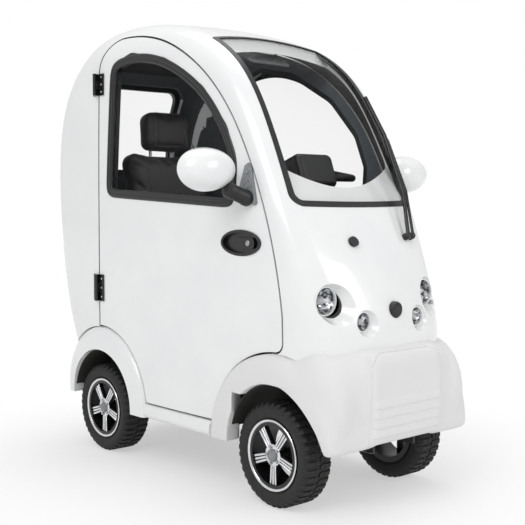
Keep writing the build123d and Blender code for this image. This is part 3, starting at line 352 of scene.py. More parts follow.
def start(name: str, primitive: Callable, **size) -> bpy.types.Object:
    """Add a primitive at its size and place as the start of a piece.

    Args:
        name: the piece's name.
        primitive: the operator that adds it.
        **size: the operator's settings.

    Returns:
        The new object.
    """
    bpy.ops.object.select_all(action="DESELECT")
    primitive(**size)
    piece = bpy.context.active_object
    piece.name = name
    piece.data.name = name
    return piece


@contextmanager
def edit(piece: bpy.types.Object) -> Iterator[None]:
    """Open a piece in edit mode with nothing selected.

    Args:
        piece: the object to edit.

    Yields:
        Nothing: the piece is in edit mode until the block ends.
    """
    only(piece)
    bpy.ops.object.mode_set(mode="EDIT")
    bpy.ops.mesh.select_mode(type="FACE")
    bpy.ops.mesh.select_all(action="DESELECT")
    yield
    bpy.ops.object.mode_set(mode="OBJECT")


def mark(piece: bpy.types.Object, test: Callable[[Vector, Vector], bool]) -> None:
    """Select the faces of a piece in edit mode by place and normal.

    Args:
        piece: the object being edited.
        test: takes a face's centre and normal.
    """
    mesh = bmesh.from_edit_mesh(piece.data)
    for face in mesh.faces:
        face.select_set(test(face.calc_center_median(), face.normal))
    bmesh.update_edit_mesh(piece.data)


def change(piece: bpy.types.Object, kind: str, **settings) -> None:
    """Add a modifier and apply it.

    Args:
        piece: the object.
        kind: the modifier's type name.
        **settings: properties of the modifier.
    """
    only(piece)
    made = piece.modifiers.new(kind.lower(), kind)
    for key, value in settings.items():
        setattr(made, key, value)
    bpy.ops.object.modifier_apply(modifier=made.name)


def settle(piece: bpy.types.Object) -> None:
    """Put a piece's place into its mesh."""
    only(piece)
    bpy.ops.object.transform_apply(location=True, rotation=True, scale=True)


def smooth(piece: bpy.types.Object, degrees: float = 35.0) -> None:
    """Shade a piece smooth up to an angle."""
    only(piece)
    bpy.ops.object.shade_smooth_by_angle(angle=math.radians(degrees))


def twin(piece: bpy.types.Object, name: str, move: Matrix) -> bpy.types.Object:
    """Copy a settled piece with its own mesh.

    Args:
        piece: the model.
        name: the copy's name.
        move: where the copy goes.

    Returns:
        The copy.
    """
    mesh = piece.data.copy()
    mesh.transform(move)
    if move.is_negative:
        mesh.flip_normals()
    made = bpy.data.objects.new(name, mesh)
    bpy.context.scene.collection.objects.link(made)
    return made


def join(pieces: Sequence[bpy.types.Object], name: str) -> bpy.types.Object:
    """Join pieces into one object.

    Args:
        pieces: settled objects.
        name: the name of the whole.

    Returns:
        The joined object.
    """
    only(pieces[0])
    for piece in pieces:
        piece.select_set(True)
    if len(pieces) > 1:
        bpy.ops.object.join()
    pieces[0].name = name
    pieces[0].data.name = name
    return pieces[0]


def dress(piece: bpy.types.Object, finish: Finish) -> None:
    """Give a whole piece one finish."""
    piece.data.materials.clear()
    piece.data.materials.append(finish.material())


def carry(piece: bpy.types.Object, body: str, finish: Finish, replaced: Sequence[str] = ()) -> None:
    """Put a finished piece on its body.

    Args:
        piece: the settled piece.
        body: the body that it moves with.
        finish: the finish that it wears, unless it has its own already.
        replaced: the solids that it stands for.
    """
    if not piece.data.materials:
        dress(piece, finish)
    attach(piece, body)
    if replaced:
        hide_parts(*replaced)
    log.info("%s on %s", piece.name, body)


def node_copy(node: str, name: str) -> bpy.types.Object:
    """Copy a solid's mesh and merge its loose triangles.

    Args:
        node: the solid's name.
        name: the copy's name.

    Returns:
        The copy.
    """
    mesh = NODES[node].data.copy()
    made = bpy.data.objects.new(name, mesh)
    bpy.context.scene.collection.objects.link(made)
    made.data.materials.clear()
    with edit(made):
        bpy.ops.mesh.select_all(action="SELECT")
        bpy.ops.mesh.customdata_custom_splitnormals_clear()
        bpy.ops.mesh.remove_doubles(threshold=WELD)
    return made


MIRRORED = Matrix.Scale(-1, 4, (0, 1, 0))


def pair(piece: bpy.types.Object, body: str, finish: Finish, node: str = "") -> None:
    """Put a right-hand piece on its body and its mirrored twin on the left side's.

    Args:
        piece: the settled piece of the right side.
        body: the right side's body.
        finish: the finish that both wear.
        node: the solid that each stands for, without its side.
    """
    stem = piece.name.removesuffix("_right")
    other = twin(piece, f"{stem}_left", MIRRORED)
    piece.name = f"{stem}_right"
    carry(other, body.replace("right", "left"), finish, (f"{node}_left",) if node else ())
    carry(piece, body, finish, (f"{node}_right",) if node else ())


def lathe(name: str, profile: Sequence[tuple[float, float]], origin: Sequence[float], axis: Sequence[float],
          steps: int = 40) -> bpy.types.Object:
    """Turn a closed outline round an axis.

    Args:
        name: the piece's name.
        profile: reach from the axis and height along it, in millimetres.
        origin: the foot of the axis in millimetres.
        axis: the axis' direction.
        steps: how many faces go round.

    Returns:
        The settled piece, with its reach kept as an attribute.
    """
    piece = start(name, bpy.ops.mesh.primitive_circle_add, vertices=len(profile), radius=0.01,
                  fill_type="NOTHING")
    with edit(piece):
        mesh = bmesh.from_edit_mesh(piece.data)
        for vertex, (reach, height) in zip(mesh.verts, profile):
            vertex.co = (reach * MM, 0, height * MM)
        bmesh.update_edit_mesh(piece.data)
        bpy.ops.mesh.select_mode(type="VERT")
        bpy.ops.mesh.select_all(action="SELECT")
        bpy.ops.mesh.spin(steps=steps, angle=2 * math.pi, center=(0, 0, 0), axis=(0, 0, 1))
        bpy.ops.mesh.select_all(action="SELECT")
        bpy.ops.mesh.remove_doubles(threshold=WELD)
        bpy.ops.mesh.dissolve_degenerate(threshold=SLIVER)
        bpy.ops.mesh.select_all(action="SELECT")
        bpy.ops.mesh.normals_make_consistent(inside=False)
    keep_reach(piece, (0, 0, 0), (0, 0, 1))
    turn = Vector((0, 0, 1)).rotation_difference(Vector(axis)).to_matrix().to_4x4()
    piece.data.transform(Matrix.Translation(Vector(origin) * MM) @ turn)
    smooth(piece)
    return piece


def keep_reach(piece: bpy.types.Object, origin: Sequence[float], axis: Sequence[float]) -> None:
    """Store each point's distance from an axis, for turned finishes.

    Args:
        piece: the piece.
        origin: a point of the axis in millimetres.
        axis: the axis' direction.
    """
    foot, line = Vector(origin) * MM, Vector(axis).normalized()
    kept = piece.data.attributes.new("reach", "FLOAT", "POINT")
    for vertex, value in zip(piece.data.vertices, kept.data):
        arm = vertex.co - foot
        value.value = (arm - line * arm.dot(line)).length


def slab(name: str, outline: Sequence[tuple[float, float]], thick: float, place: Matrix, edge: float = 1.0,
         segments: int = 1) -> bpy.types.Object:
    """Raise a flat outline into a plate with eased edges.

    Args:
        name: the piece's name.
        outline: the corners in millimetres.
        thick: the plate's thickness in millimetres.
        place: where the plate goes.
        edge: the width of the eased edge in millimetres.
        segments: how many faces round each edge.

    Returns:
        The settled plate.
    """
    piece = start(name, bpy.ops.mesh.primitive_circle_add, vertices=len(outline), radius=0.01,
                  fill_type="NGON")
    with edit(piece):
        mesh = bmesh.from_edit_mesh(piece.data)
        for vertex, (across, up) in zip(mesh.verts, outline):
            vertex.co = (across * MM, up * MM, 0)
        bmesh.update_edit_mesh(piece.data)
        bpy.ops.mesh.select_all(action="SELECT")
        bpy.ops.mesh.extrude_region_move(TRANSFORM_OT_translate={"value": (0, 0, thick * MM)})
        bpy.ops.mesh.select_all(action="SELECT")
        bpy.ops.mesh.normals_make_consistent(inside=False)
    change(piece, "BEVEL", width=edge * MM, segments=segments, limit_method="ANGLE",
           angle_limit=math.radians(40))
    piece.data.transform(place)
    smooth(piece)
    return piece


def rounded(wide: float, tall: float, corner: float, steps: int = 6) -> list[tuple[float, float]]:
    """List the points of a rounded rectangle.

    Args:
        wide: its width.
        tall: its height.
        corner: the rounding.
        steps: how many points in each corner.

    Returns:
        The points, anticlockwise.
    """
    points = []
    for quarter, (side, up) in enumerate(((1, 1), (-1, 1), (-1, -1), (1, -1))):
        for step in range(steps + 1):
            angle = math.radians(90 * (quarter + step / steps))
            points.append((side * (wide / 2 - corner) + corner * math.cos(angle),
                           up * (tall / 2 - corner) + corner * math.sin(angle)))
    return points


def seat(origin: Sequence[float], out: Sequence[float], up: Sequence[float] = (0, 0, 1)) -> Matrix:
    """Make the place of a flat piece that faces outwards.

    Args:
        origin: the place in millimetres.
        out: the direction that the piece faces.
        up: the direction that its height follows.

    Returns:
        The matrix from the flat piece to the part's frame.
    """
    normal = Vector(out).normalized()
    across = Vector(up).cross(normal).normalized()
    rise = normal.cross(across)
    return Matrix.Translation(Vector(origin) * MM) @ Matrix((across, rise, normal)).transposed().to_4x4()


def touch(node: str, place: Sequence[float], aim: Sequence[float]) -> tuple[Vector, Vector]:
    """Find where a straight line meets a solid.

    Args:
        node: the solid's name.
        place: the line's start in millimetres.
        aim: its direction.

    Returns:
        The place in millimetres and the surface's normal.
    """
    hit, spot, normal, _ = NODES[node].ray_cast(Vector(place) * MM, Vector(aim).normalized())
    if not hit:
        raise ValueError(f"{node} is not met from {tuple(place)}")
    return spot / MM, normal


# Studio
@dataclass
class Studio:
    """Pale floor, soft light and the camera at the photograph's angle."""

    eye: Place = (2.7689, -2.3423, 0.9502)
    turn: float = 48.611
    lift: float = 3.462
    lens: float = 67.8
    floor_size: float = 60.0
    floor_tone: str = "#FAFAFA"
    shadow_near: float = 0.55
    shadow_far: float = 1.5
    shadow_share: float = 0.5
    room_level: float = 0.54
    gloss_level: float = 0.55
    lamps: tuple[tuple[str, Place, Place, float, float], ...] = (
        ("key", (1.6, -3.4, 3.6), (0, 0, 0.7), 2.4, 68.0),
        ("front", (4.2, 1.2, 2.4), (0, 0, 0.7), 1.8, 36.0),
        ("top", (-0.6, 0.4, 4.4), (0, 0, 0.8), 2.6, 40.0))

    def camera(self) -> None:
        """Place the camera."""
        turn, lift = math.radians(self.turn), math.radians(self.lift)
        back = Vector((math.sin(turn) * math.cos(lift), -math.cos(turn) * math.cos(lift), math.sin(lift)))
        right = Vector((math.cos(turn), math.sin(turn), 0))
        up = back.cross(right)
        data = bpy.data.cameras.new("camera")
        data.lens = self.lens
        data.sensor_width = 36.0
        eye = bpy.data.objects.new("camera", data)
        bpy.context.scene.collection.objects.link(eye)
        turned = Matrix((right, up, back)).transposed().to_4x4()
        eye.matrix_world = Matrix.Translation(self.eye) @ turned
        bpy.context.scene.camera = eye

    def floor(self) -> None:
        """Lay the floor, white where it is seen and shaded where the scooter stands."""
        floor = start("floor", bpy.ops.mesh.primitive_plane_add, size=self.floor_size)
        made = bpy.data.materials.new("floor_paper")
        made.use_nodes = True
        tree = made.node_tree
        tree.nodes.clear()
        shade = add(tree, "ShaderNodeBsdfPrincipled", {"Base Color": linear(self.floor_tone), "Roughness": 0.9,
                                                       "Specular IOR Level": 0.0})
        path = add(tree, "ShaderNodeLightPath").outputs
        direct = add(tree, "ShaderNodeMath", {0: path["Is Camera Ray"], 1: path["Is Glossy Ray"]},
                     operation="MAXIMUM")
        seen = add(tree, "ShaderNodeMath", {0: direct.outputs[0], 1: path["Is Transmission Ray"]},
                   operation="MAXIMUM")
        paper = add(tree, "ShaderNodeEmission", {"Color": linear("#FFFFFF"), "Strength": 1.0})
        spot = add(tree, "ShaderNodeTexCoord").outputs["Object"]
        reach = add(tree, "ShaderNodeVectorMath", {0: spot}, operation="LENGTH")
        far = add(tree, "ShaderNodeMapRange", {"Value": reach.outputs["Value"], "From Min": self.shadow_near,
                                               "From Max": self.shadow_far, "To Min": self.shadow_share},
                  interpolation_type="SMOOTHSTEP")
        share = add(tree, "ShaderNodeMath", {0: far.outputs["Result"], 1: seen.outputs[0]},
                    operation="MULTIPLY")
        mixed = add(tree, "ShaderNodeMixShader", {0: share.outputs[0], 1: shade.outputs[0],
                                                  2: paper.outputs[0]})
        add(tree, "ShaderNodeOutputMaterial", {"Surface": mixed.outputs[0]})
        floor.data.materials.append(made)

    def world(self) -> None:
        """Fill the room with white, softer on the scooter than to the eye."""
        world = bpy.data.worlds.new("room")
        bpy.context.scene.world = world
        world.use_nodes = True
        tree = world.node_tree
        tree.nodes.clear()
        path = add(tree, "ShaderNodeLightPath").outputs
        seen = add(tree, "ShaderNodeMath", {0: path["Is Camera Ray"], 1: path["Is Transmission Ray"]},
                   operation="MAXIMUM")
        gloss = add(tree, "ShaderNodeMath", {0: path["Is Glossy Ray"], 1: self.gloss_level},
                    operation="MULTIPLY")
        bright = add(tree, "ShaderNodeMath", {0: seen.outputs[0], 1: gloss.outputs[0]}, operation="MAXIMUM")
        level = add(tree, "ShaderNodeMapRange", {"Value": bright.outputs[0], "To Min": self.room_level,
                                                 "To Max": 1.0})
        glow = add(tree, "ShaderNodeBackground", {"Color": linear("#FFFFFF"),
                                                 "Strength": level.outputs["Result"]})
        add(tree, "ShaderNodeOutputWorld", {"Surface": glow.outputs[0]})

    def lamp(self, name: str, place: Place, aim: Place, size: float, power: float) -> None:
        """Hang one square soft lamp.

        Args:
            name: the lamp's name.
            place: where it hangs.
            aim: the point that it faces.
            size: its side in metres.
            power: its power in watts.
        """
        data = bpy.data.lights.new(name, "AREA")
        data.size = size
        data.energy = power
        lamp = bpy.data.objects.new(name, data)
        bpy.context.scene.collection.objects.link(lamp)
        lamp.location = place
        lamp.rotation_mode = "QUATERNION"
        lamp.rotation_quaternion = (Vector(aim) - Vector(place)).to_track_quat("-Z", "Y")

    def build(self) -> None:
        """Set the whole studio."""
        bpy.context.scene.view_settings.view_transform = "Standard"
        self.camera()
        self.floor()
        self.world()
        for settings in self.lamps:
            self.lamp(*settings)


# Painted and moulded solids
@dataclass
class Solids:
    """Finishes of the solids whose shape is already right."""

    finishes: dict[Finish, tuple[str, ...]] = field(default_factory=lambda: {
        PAINT: ("rear_body", "roof", "rear_wings", "sills", "door_right", "door_left"),
        GLASS: ("windscreen", "rear_window", "door_glass_right", "door_glass_left"),
        SEAL: ("window_seals", "door_seal_right", "door_seal_left"),
        MOULDED: ("washer_nozzle", "dash_shelf", "tiller_head"),
        GLOSS_BLACK: ("handle_right", "handle_left", "body_hinges", "door_hinges_right", "door_hinges_left"),
        LINER: ("arch_liners",),
        COATED: ("chassis_frame", "front_axle", "rear_axle", "seat_base", "tiller_column", "drop_arm",
                 "handlebar", "knuckle_right", "knuckle_left"),
        MAT: ("floor_pan",),
        CASE: ("battery",),
        ZINC: ("tie_rod",),
        TAIL: ("tail_lamps",),
        POCKET: tuple(f"rim_{end}_{side}" for end in ("front", "rear") for side in ("right", "left")),
    })

    def build(self) -> None:
        """Give each solid its finish."""
        for finish, names in self.finishes.items():
            for name in names:
                dress(NODES[name], finish)
                log.info("%s in %s", name, finish.name)


# Linings
@dataclass
class Lining:
    """Felt glued to the inner faces of the cabin's panels."""

    middle: Place = (-100.0, 0.0, 900.0)
    thick: float = 1.2
    facing: float = 0.45
    sheets: dict[str, tuple[str, Finish]] = field(default_factory=lambda: {
        "roof": ("body", HEADLINER),
        "rear_body": ("body", FELT),
        "cowl": ("body", HEADLINER),
        "door_right": ("door_right", FELT),
        "door_left": ("door_left", FELT),
    })

    def build(self) -> None:
        """Line each panel."""
        middle = Vector(self.middle) * MM
        for node, (body, finish) in self.sheets.items():
            piece = node_copy(node, f"lining_{node}")
            with edit(piece):
                mark(piece, lambda spot, normal: normal.dot((middle - spot).normalized()) < self.facing)
                bpy.ops.mesh.delete(type="FACE")
            change(piece, "SOLIDIFY", thickness=self.thick * MM, offset=1.0)
            smooth(piece)
            carry(piece, body, finish)


# Wheels
@dataclass
class Wheels:
    """Tyres with blocks of tread, machined wheel faces, lips, caps and nuts."""

    axles: tuple[tuple[str, float], ...] = (("front", 512.0), ("rear", -456.0))
    wheel_y: float = 264.0
    radius: float = 165.0
    pitch: int = 40
    tread: float = 164.7
    floor: float = 157.5
    carcass: Outline = (
        (100, -45.5), (113, -45.5), (114.5, -47.6), (118, -49.6), (120, -51.6), (123, -52.6), (126, -53.2),
        (132, -55.6), (141, -56.8), (150, -54.8), (156, -50.5), (159, -43.5), (160, -20), (160, 20),
        (159, 43.5), (156, 50.5), (150, 54.8), (141, 56.8), (132, 55.6), (126, 53.2), (123, 52.6), (120, 51.6),
        (118, 49.6), (114.5, 47.6), (113, 45.5), (100, 45.5))
    lip: Outline = (
        (104, 50.4), (112.4, 50.4), (112.6, 52.4), (111.2, 53.8), (108.6, 53.8), (106.4, 52.6), (104.6, 51.4))
    cap: Outline = (
        (0, 46.2), (20.5, 46.2), (20.5, 49.5), (19.2, 52.6), (15.5, 54.4), (14.6, 53.6), (13.6, 54.8),
        (7, 56.0), (0, 56.3))
    lug: Outline = ((-19.5, 157.5), (-19.5, 164.7), (-43.0, 164.7), (-52.6, 156.8), (-57.2, 144.0),
                    (-54.6, 142.0))
    lug_long: float = 14.4
    lug_edge: float = 1.1
    bar: Outline = ((-9.5, -18.5), (3.5, -18.5), (9.5, -2.5), (-3.5, -2.5))
    bar_edge: float = 0.9
    nuts: int = 5
    nut_ring: float = 27.0
    nut_radius: float = 5.6
    nut_tall: float = 7.0
    hub_face: float = 46.0
    boss: Outline = ((21, 45.6), (34.6, 45.6), (34.6, 46.6), (33.4, 47.4), (21, 47.4))
    spokes: int = 5
    spoke_face: float = 43.8
    ribs: tuple[float, ...] = (-10.0, 0.0, 10.0)
    rib_half: float = 3.4
    rib_ends: Outline = ((30.0, 0.85), (93.0, 1.12))
    rib_tall: float = 2.2
    rib_edge: float = 0.7

    def tread_blocks(self) -> list[bpy.types.Object]:
        """Model one pitch of the tread and copy it round.

        Returns:
            The copies.
        """
        across = Matrix(((0, 0, 1, -self.lug_long / 2 * MM), (1, 0, 0, 0), (0, 1, 0, 0), (0, 0, 0, 1)))
        rise = Matrix.Translation((0, 0, self.floor * MM))
        parts = [slab("lug", self.lug, self.lug_long, across, self.lug_edge),
                 slab("bar", self.bar, self.tread - self.floor, rise, self.bar_edge)]
        half = Matrix.Rotation(math.pi / self.pitch, 4, "Y")
        parts += [twin(part, "other", half @ MIRRORED) for part in parts]
        model = join(parts, "pitch")
        turned = []
        for step in range(1, self.pitch):
            turned.append(twin(model, "pitch", Matrix.Rotation(2 * math.pi * step / self.pitch, 4, "Y")))
        return [model] + turned

    def tyre(self) -> bpy.types.Object:
        """Model the tyre at the middle of its wheel.

        Returns:
            The tyre.
        """
        carcass = lathe("tyre", self.carcass, (0, 0, 0), (0, -1, 0), 96)
        piece = join([carcass] + self.tread_blocks(), "tyre")
        smooth(piece, 32)
        return piece

    def face(self) -> bpy.types.Object:
        """Model the machined ribs on the spokes, the hub's face and the lip.

        Returns:
            The bright metal, at the middle of the wheel.
        """
        flat = seat((0, -self.spoke_face, 0), (0, -1, 0))
        (near, slim), (far, wide) = self.rib_ends
        ribs = []
        for index in range(self.spokes):
            turn = Matrix.Rotation(math.radians(90 + 360 * index / self.spokes), 4, "Y")
            for across in self.ribs:
                low, high = across - self.rib_half, across + self.rib_half
                outline = [(near, slim * low), (far, wide * low), (far, wide * high), (near, slim * high)]
                ribs.append(slab("rib", outline, self.rib_tall, turn @ flat, self.rib_edge))
        piece = join(ribs, "face")
        keep_reach(piece, (0, 0, 0), (0, 1, 0))
        turned = [lathe("ring", outline, (0, 0, 0), (0, -1, 0), 72) for outline in (self.lip, self.boss)]
        return join([piece] + turned, "face")

    def fasteners(self) -> bpy.types.Object:
        """Model the nuts round the cap.

        Returns:
            The nuts.
        """
        outline = [(self.nut_radius * math.cos(math.pi * k / 3), self.nut_radius * math.sin(math.pi * k / 3))
                   for k in range(6)]
        made = []
        for index in range(self.nuts):
            angle = 2 * math.pi * (index + 0.5) / self.nuts
            place = (self.nut_ring * math.cos(angle), -self.hub_face, self.nut_ring * math.sin(angle))
            made.append(slab("nut", outline, self.nut_tall, seat(place, (0, -1, 0)), 1.2))
        return join(made, "nuts")

    def build(self) -> None:
        """Model one wheel and set it on the four hubs."""
        cap = lathe("cap", self.cap, (0, 0, 0), (0, -1, 0), 40)
        models = ((self.tyre(), TYRE, "tyre"), (self.face(), ALLOY, ""), (self.fasteners(), ZINC, ""),
                  (cap, SILVER, ""))
        for end, axle_x in self.axles:
            for side, flip in (("right", Matrix()), ("left", MIRRORED)):
                move = flip @ Matrix.Translation(Vector((axle_x, -self.wheel_y, self.radius)) * MM)
                for model, finish, node in models:
                    name = f"{model.name}_{end}_{side}"
                    replaced = (f"{node}_{end}_{side}",) if node else ()
                    name = f"{name}_dressed" if node else f"wheel_{name}"
                    carry(twin(model, name, move), f"wheel_{end}_{side}", finish, replaced)
        for model, _, _ in models:
            bpy.data.objects.remove(model)


# Front clip
@dataclass
class FrontClip:
    """Moulded front clip: domed wings and a nose with a slatted panel."""

    voxel: float = 8.0
    rounds: int = 30
    soft_from: float = 540.0
    soft_long: float = 120.0
    soft_least: float = 0.12
    filler: tuple[Place, Place] = ((766.0, -134.0, 234.0), (797.0, 134.0, 472.0))
    bumper: Place = (650.0, 0.0, 370.0)
    bumper_half: Place = (144.0, 338.0, 160.0)
    squareness: float = 0.74
    foot_well: tuple[Place, Place] = ((400.0, -262.0, -50.0), (705.0, 262.0, 600.0))
    dome: Place = (652.0, 262.0, 332.0)
    dome_half: Place = (136.0, 86.0, 178.0)
    arch: Place = (537.0, 280.0, 185.0)
    arch_radius: float = 209.0
    arch_wide: float = 260.0
    kingpin: Place = (512.0, 246.0, 165.0)
    steer_radius: float = 184.0
    steer_tall: float = 360.0
    soles: tuple[tuple[Place, Place], ...] = (((537.0, -400.0, -50.0), (900.0, 400.0, 203.0)),
                                              ((150.0, -400.0, -50.0), (540.0, 400.0, 180.0)))
    panel_wide: float = 324.0
    panel_low: float = 120.0
    panel_high: float = 496.0
    panel_round: float = 64.0
    panel_from: float = 750.0
    margin: float = 8.0
    cuts: int = 3
    groove_deep: float = 4.2
    groove_half: float = 2.8
    slat_low: float = 238.0
    slat_pitch: float = 30.0
    slats: int = 4
    slat_half: float = 156.0
    slat_rise: float = 5.0
    slat_lead: float = 0.16
    slat_fall: float = 0.7
    slat_fade: float = 10.0

    def block(self, low: Sequence[float], high: Sequence[float]) -> bpy.types.Object:
        """Model a block between two corners.

        Args:
            low: the lower corner in millimetres.
            high: the upper corner in millimetres.

        Returns:
            The block.
        """
        first, last = Vector(low) * MM, Vector(high) * MM
        piece = start("block", bpy.ops.mesh.primitive_cube_add, size=1.0, location=(first + last) / 2)
        piece.scale = last - first
        settle(piece)
        return piece

    def pebble(self, middle: Sequence[float], half: Sequence[float], power: float) -> bpy.types.Object:
        """Model a ball stretched to a box, squarer for a lower power.

        Args:
            middle: its middle in millimetres.
            half: its half sizes in millimetres.
            power: one for an ellipsoid, less for a rounded box.

        Returns:
            The form.
        """
        piece = start("pebble", bpy.ops.mesh.primitive_uv_sphere_add, segments=64, ring_count=40, radius=1.0)
        for vertex in piece.data.vertices:
            vertex.co = [math.copysign(abs(c) ** power, c) * size * MM for c, size in zip(vertex.co, half)]
        piece.data.transform(Matrix.Translation(Vector(middle) * MM))
        return piece

    def mass(self) -> bpy.types.Object:
        """Blend the wings, the nose and the domes into one soft form.

        Returns:
            The blended form.
        """
        bumper = self.pebble(self.bumper, self.bumper_half, self.squareness)
        well = self.block(*self.foot_well)
        change(bumper, "BOOLEAN", object=well, operation="DIFFERENCE", solver="EXACT")
        bpy.data.objects.remove(well)
        parts = [node_copy("front_wings", "front_clip"), self.block(*self.filler), bumper]
        for side in SIDES:
            spot = (self.dome[0], side * self.dome[1], self.dome[2])
            parts.append(self.pebble(spot, self.dome_half, 1.0))
        piece = join(parts, "front_clip")
        piece.data.remesh_voxel_size = self.voxel * MM
        bpy.ops.object.voxel_remesh()
        soft = piece.vertex_groups.new(name="soft")
        for vertex in piece.data.vertices:
            share = (vertex.co.x / MM - self.soft_from) / self.soft_long
            soft.add([vertex.index], min(max(share, self.soft_least), 1.0), "REPLACE")
        change(piece, "SMOOTH", iterations=self.rounds, factor=0.5, vertex_group="soft")
        piece.vertex_groups.clear()
        return piece

    def trim(self, piece: bpy.types.Object) -> None:
        """Open the wheel arches and the room for the turned wheels.

        Args:
            piece: the blended form.
        """
        cutters = [self.block(low, high) for low, high in self.soles]
        for side in SIDES:
            for (x, y, z), radius, long, turn in ((self.arch, self.arch_radius, self.arch_wide, math.pi / 2),
                                                  (self.kingpin, self.steer_radius, self.steer_tall, 0.0)):
                cutters.append(start("cutter", bpy.ops.mesh.primitive_cylinder_add, vertices=120,
                                     depth=long * MM, radius=radius * MM,
                                     location=Vector((x, side * y, z)) * MM, rotation=(turn, 0, 0)))
        for cutter in cutters:
            change(piece, "BOOLEAN", object=cutter, operation="DIFFERENCE", solver="MANIFOLD")
            bpy.data.objects.remove(cutter)

    def press(self, y: float, z: float) -> float:
        """Give the depth of the panel's groove and slats at one place of the nose.

        Args:
            y: the place across, in millimetres.
            z: the place up, in millimetres.

        Returns:
            How far the surface moves forward, in millimetres.
        """
        tall = self.panel_high - self.panel_low
        out = abs(y) - self.panel_wide / 2 + self.panel_round
        up = abs(z - self.panel_low - tall / 2) - tall / 2 + self.panel_round
        edge = math.hypot(max(out, 0), max(up, 0)) + min(max(out, up), 0) - self.panel_round
        move = -self.groove_deep * math.exp(-(edge / self.groove_half) ** 2)
        step = (z - self.slat_low) / self.slat_pitch
        if 0 <= step < self.slats:
            rise = min((step % 1) / self.slat_lead, 1.0) * (1 - (step % 1)) ** self.slat_fall
            move += self.slat_rise * rise * min(max((self.slat_half - abs(y)) / self.slat_fade, 0.0), 1.0)
        return move

    def build(self) -> None:
        """Make the clip with its panel."""
        piece = self.mass()
        self.trim(piece)
        half = self.panel_wide / 2 + self.margin
        low, high = self.panel_low - self.margin, self.panel_high + self.margin
        with edit(piece):
            mark(piece, lambda spot, normal: normal.x > 0.5 and spot.x > self.panel_from * MM
                 and abs(spot.y / MM) < half and low < spot.z / MM < high)
            bpy.ops.mesh.subdivide(number_cuts=self.cuts)
        for vertex in piece.data.vertices:
            spot = vertex.co / MM
            if spot.x > self.panel_from and abs(spot.y) < half and vertex.normal.x > 0.4:
                vertex.co.x += self.press(spot.y, spot.z) * MM
        smooth(piece, 40)
        carry(piece, "body", PAINT, ("front_wings", "grille"))


# Middles of the left lamps' lenses, in millimetres
HEAD_LAMP: Place = (659.0, 228.0, 652.0)
FOG_LAMP: Place = (718.0, 124.0, 586.0)


# Nose
@dataclass
class Nose:
    """Cowl with scoops opened round its lamps, and the round cap between them."""

    scoops: tuple[tuple[Place, float], ...] = ((HEAD_LAMP, 47.0), (FOG_LAMP, 34.0))
    scoop_long: float = 110.0
    scoop_foot: float = 0.2
    flare: float = 0.5
    cap_place: Place = (737.0, 0.0, 617.0)
    cap: Outline = ((0, -22.0), (25.7, -22.0), (25.7, 6.0), (24.6, 8.6), (21.5, 10.2), (18.0, 10.4),
                    (17.0, 9.4), (16.0, 10.4), (0, 11.4))

    def scoop(self, place: Sequence[float], radius: float) -> bpy.types.Object:
        """Model the cone that opens one scoop.

        Args:
            place: the middle of the lens.
            radius: the scoop's radius at the lens.

        Returns:
            The cutter.
        """
        low, high = self.scoop_foot, self.scoop_long
        outline = [(0, low), (radius, low), (radius + self.flare * high, high), (0, high)]
        return lathe("cutter", outline, place, (1, 0, 0), 72)

    def build(self) -> None:
        """Replace the cowl and fit the cap."""
        cowl = node_copy("cowl", "cowl_scooped")
        for (x, y, z), radius in self.scoops:
            for side in SIDES:
                cutter = self.scoop((x, side * y, z), radius)
                change(cowl, "BOOLEAN", object=cutter, operation="DIFFERENCE", solver="EXACT")
                bpy.data.objects.remove(cutter)
        smooth(cowl, 30)
        carry(cowl, "body", PAINT, ("cowl",))
        cap = lathe("nose_cap_turned", self.cap, self.cap_place, (1, 0, 0), 48)
        carry(cap, "body", MOULDED, ("nose_cap",))


# Lamps
@dataclass
class Lamps:
    """Head and fog lamps: white cup, chrome bowl, bulb and clear lens."""

    places: tuple[tuple[Place, float], ...] = ((HEAD_LAMP, 42.0), (FOG_LAMP, 29.0))
    ring: float = 4.6
    depth: float = 56.0

    def outlines(self, radius: float) -> dict[str, list[tuple[float, float]]]:
        """List the turned outlines of one lamp.

        Args:
            radius: the lens' radius.

        Returns:
            Outlines by the part's name.
        """
        deep = -0.9 * radius
        bowl = [(radius - 2.0, -4.0), (0.86 * radius, 0.36 * deep), (0.66 * radius, 0.68 * deep),
                (0.4 * radius, 0.92 * deep), (0, deep)]
        back = [(reach + 1.0 if reach else 0, height - 1.4) for reach, height in reversed(bowl)]
        dome = [(radius - 1.4, -1.0), (0.8 * radius, 2.4), (0.45 * radius, 5.0), (0, 6.0)]
        under = [(reach - 1.2 if reach else 0, height - 1.8) for reach, height in reversed(dome)]
        wide = radius + self.ring
        return {
            "cups": [(wide, -self.depth), (wide, 0.5), (radius + 2.6, 2.6), (radius, 2.0), (radius - 1.2, -3.0),
                     (radius - 0.6, deep - 4), (0, deep - 5), (0, -self.depth)],
            "bowls": bowl + back,
            "bulbs": [(0, deep + 1), (0.34 * radius, deep + 3), (0.34 * radius, 0.62 * deep),
                      (0.28 * radius, 0.46 * deep), (0.16 * radius, 0.36 * deep), (0, 0.34 * deep)],
            "lenses": dome + under,
        }

    def build(self) -> None:
        """Model the four lamps, joined part by part."""
        # The bowls' chrome carries painted reflections, as bright and dark patches in its colour
        finishes = {"cups": PAINT, "bowls": CHROME_PAINTED_REFLECTIONS, "bulbs": BULB, "lenses": LENS}
        made: dict[str, list[bpy.types.Object]] = {name: [] for name in finishes}
        for (x, y, z), radius in self.places:
            for side in SIDES:
                for name, outline in self.outlines(radius).items():
                    made[name].append(lathe(name, outline, (x, side * y, z), (1, 0, 0), 56))
        for name, finish in finishes.items():
            carry(join(made[name], f"lamp_{name}"), "body", finish, ("lamps",) if name == "cups" else ())


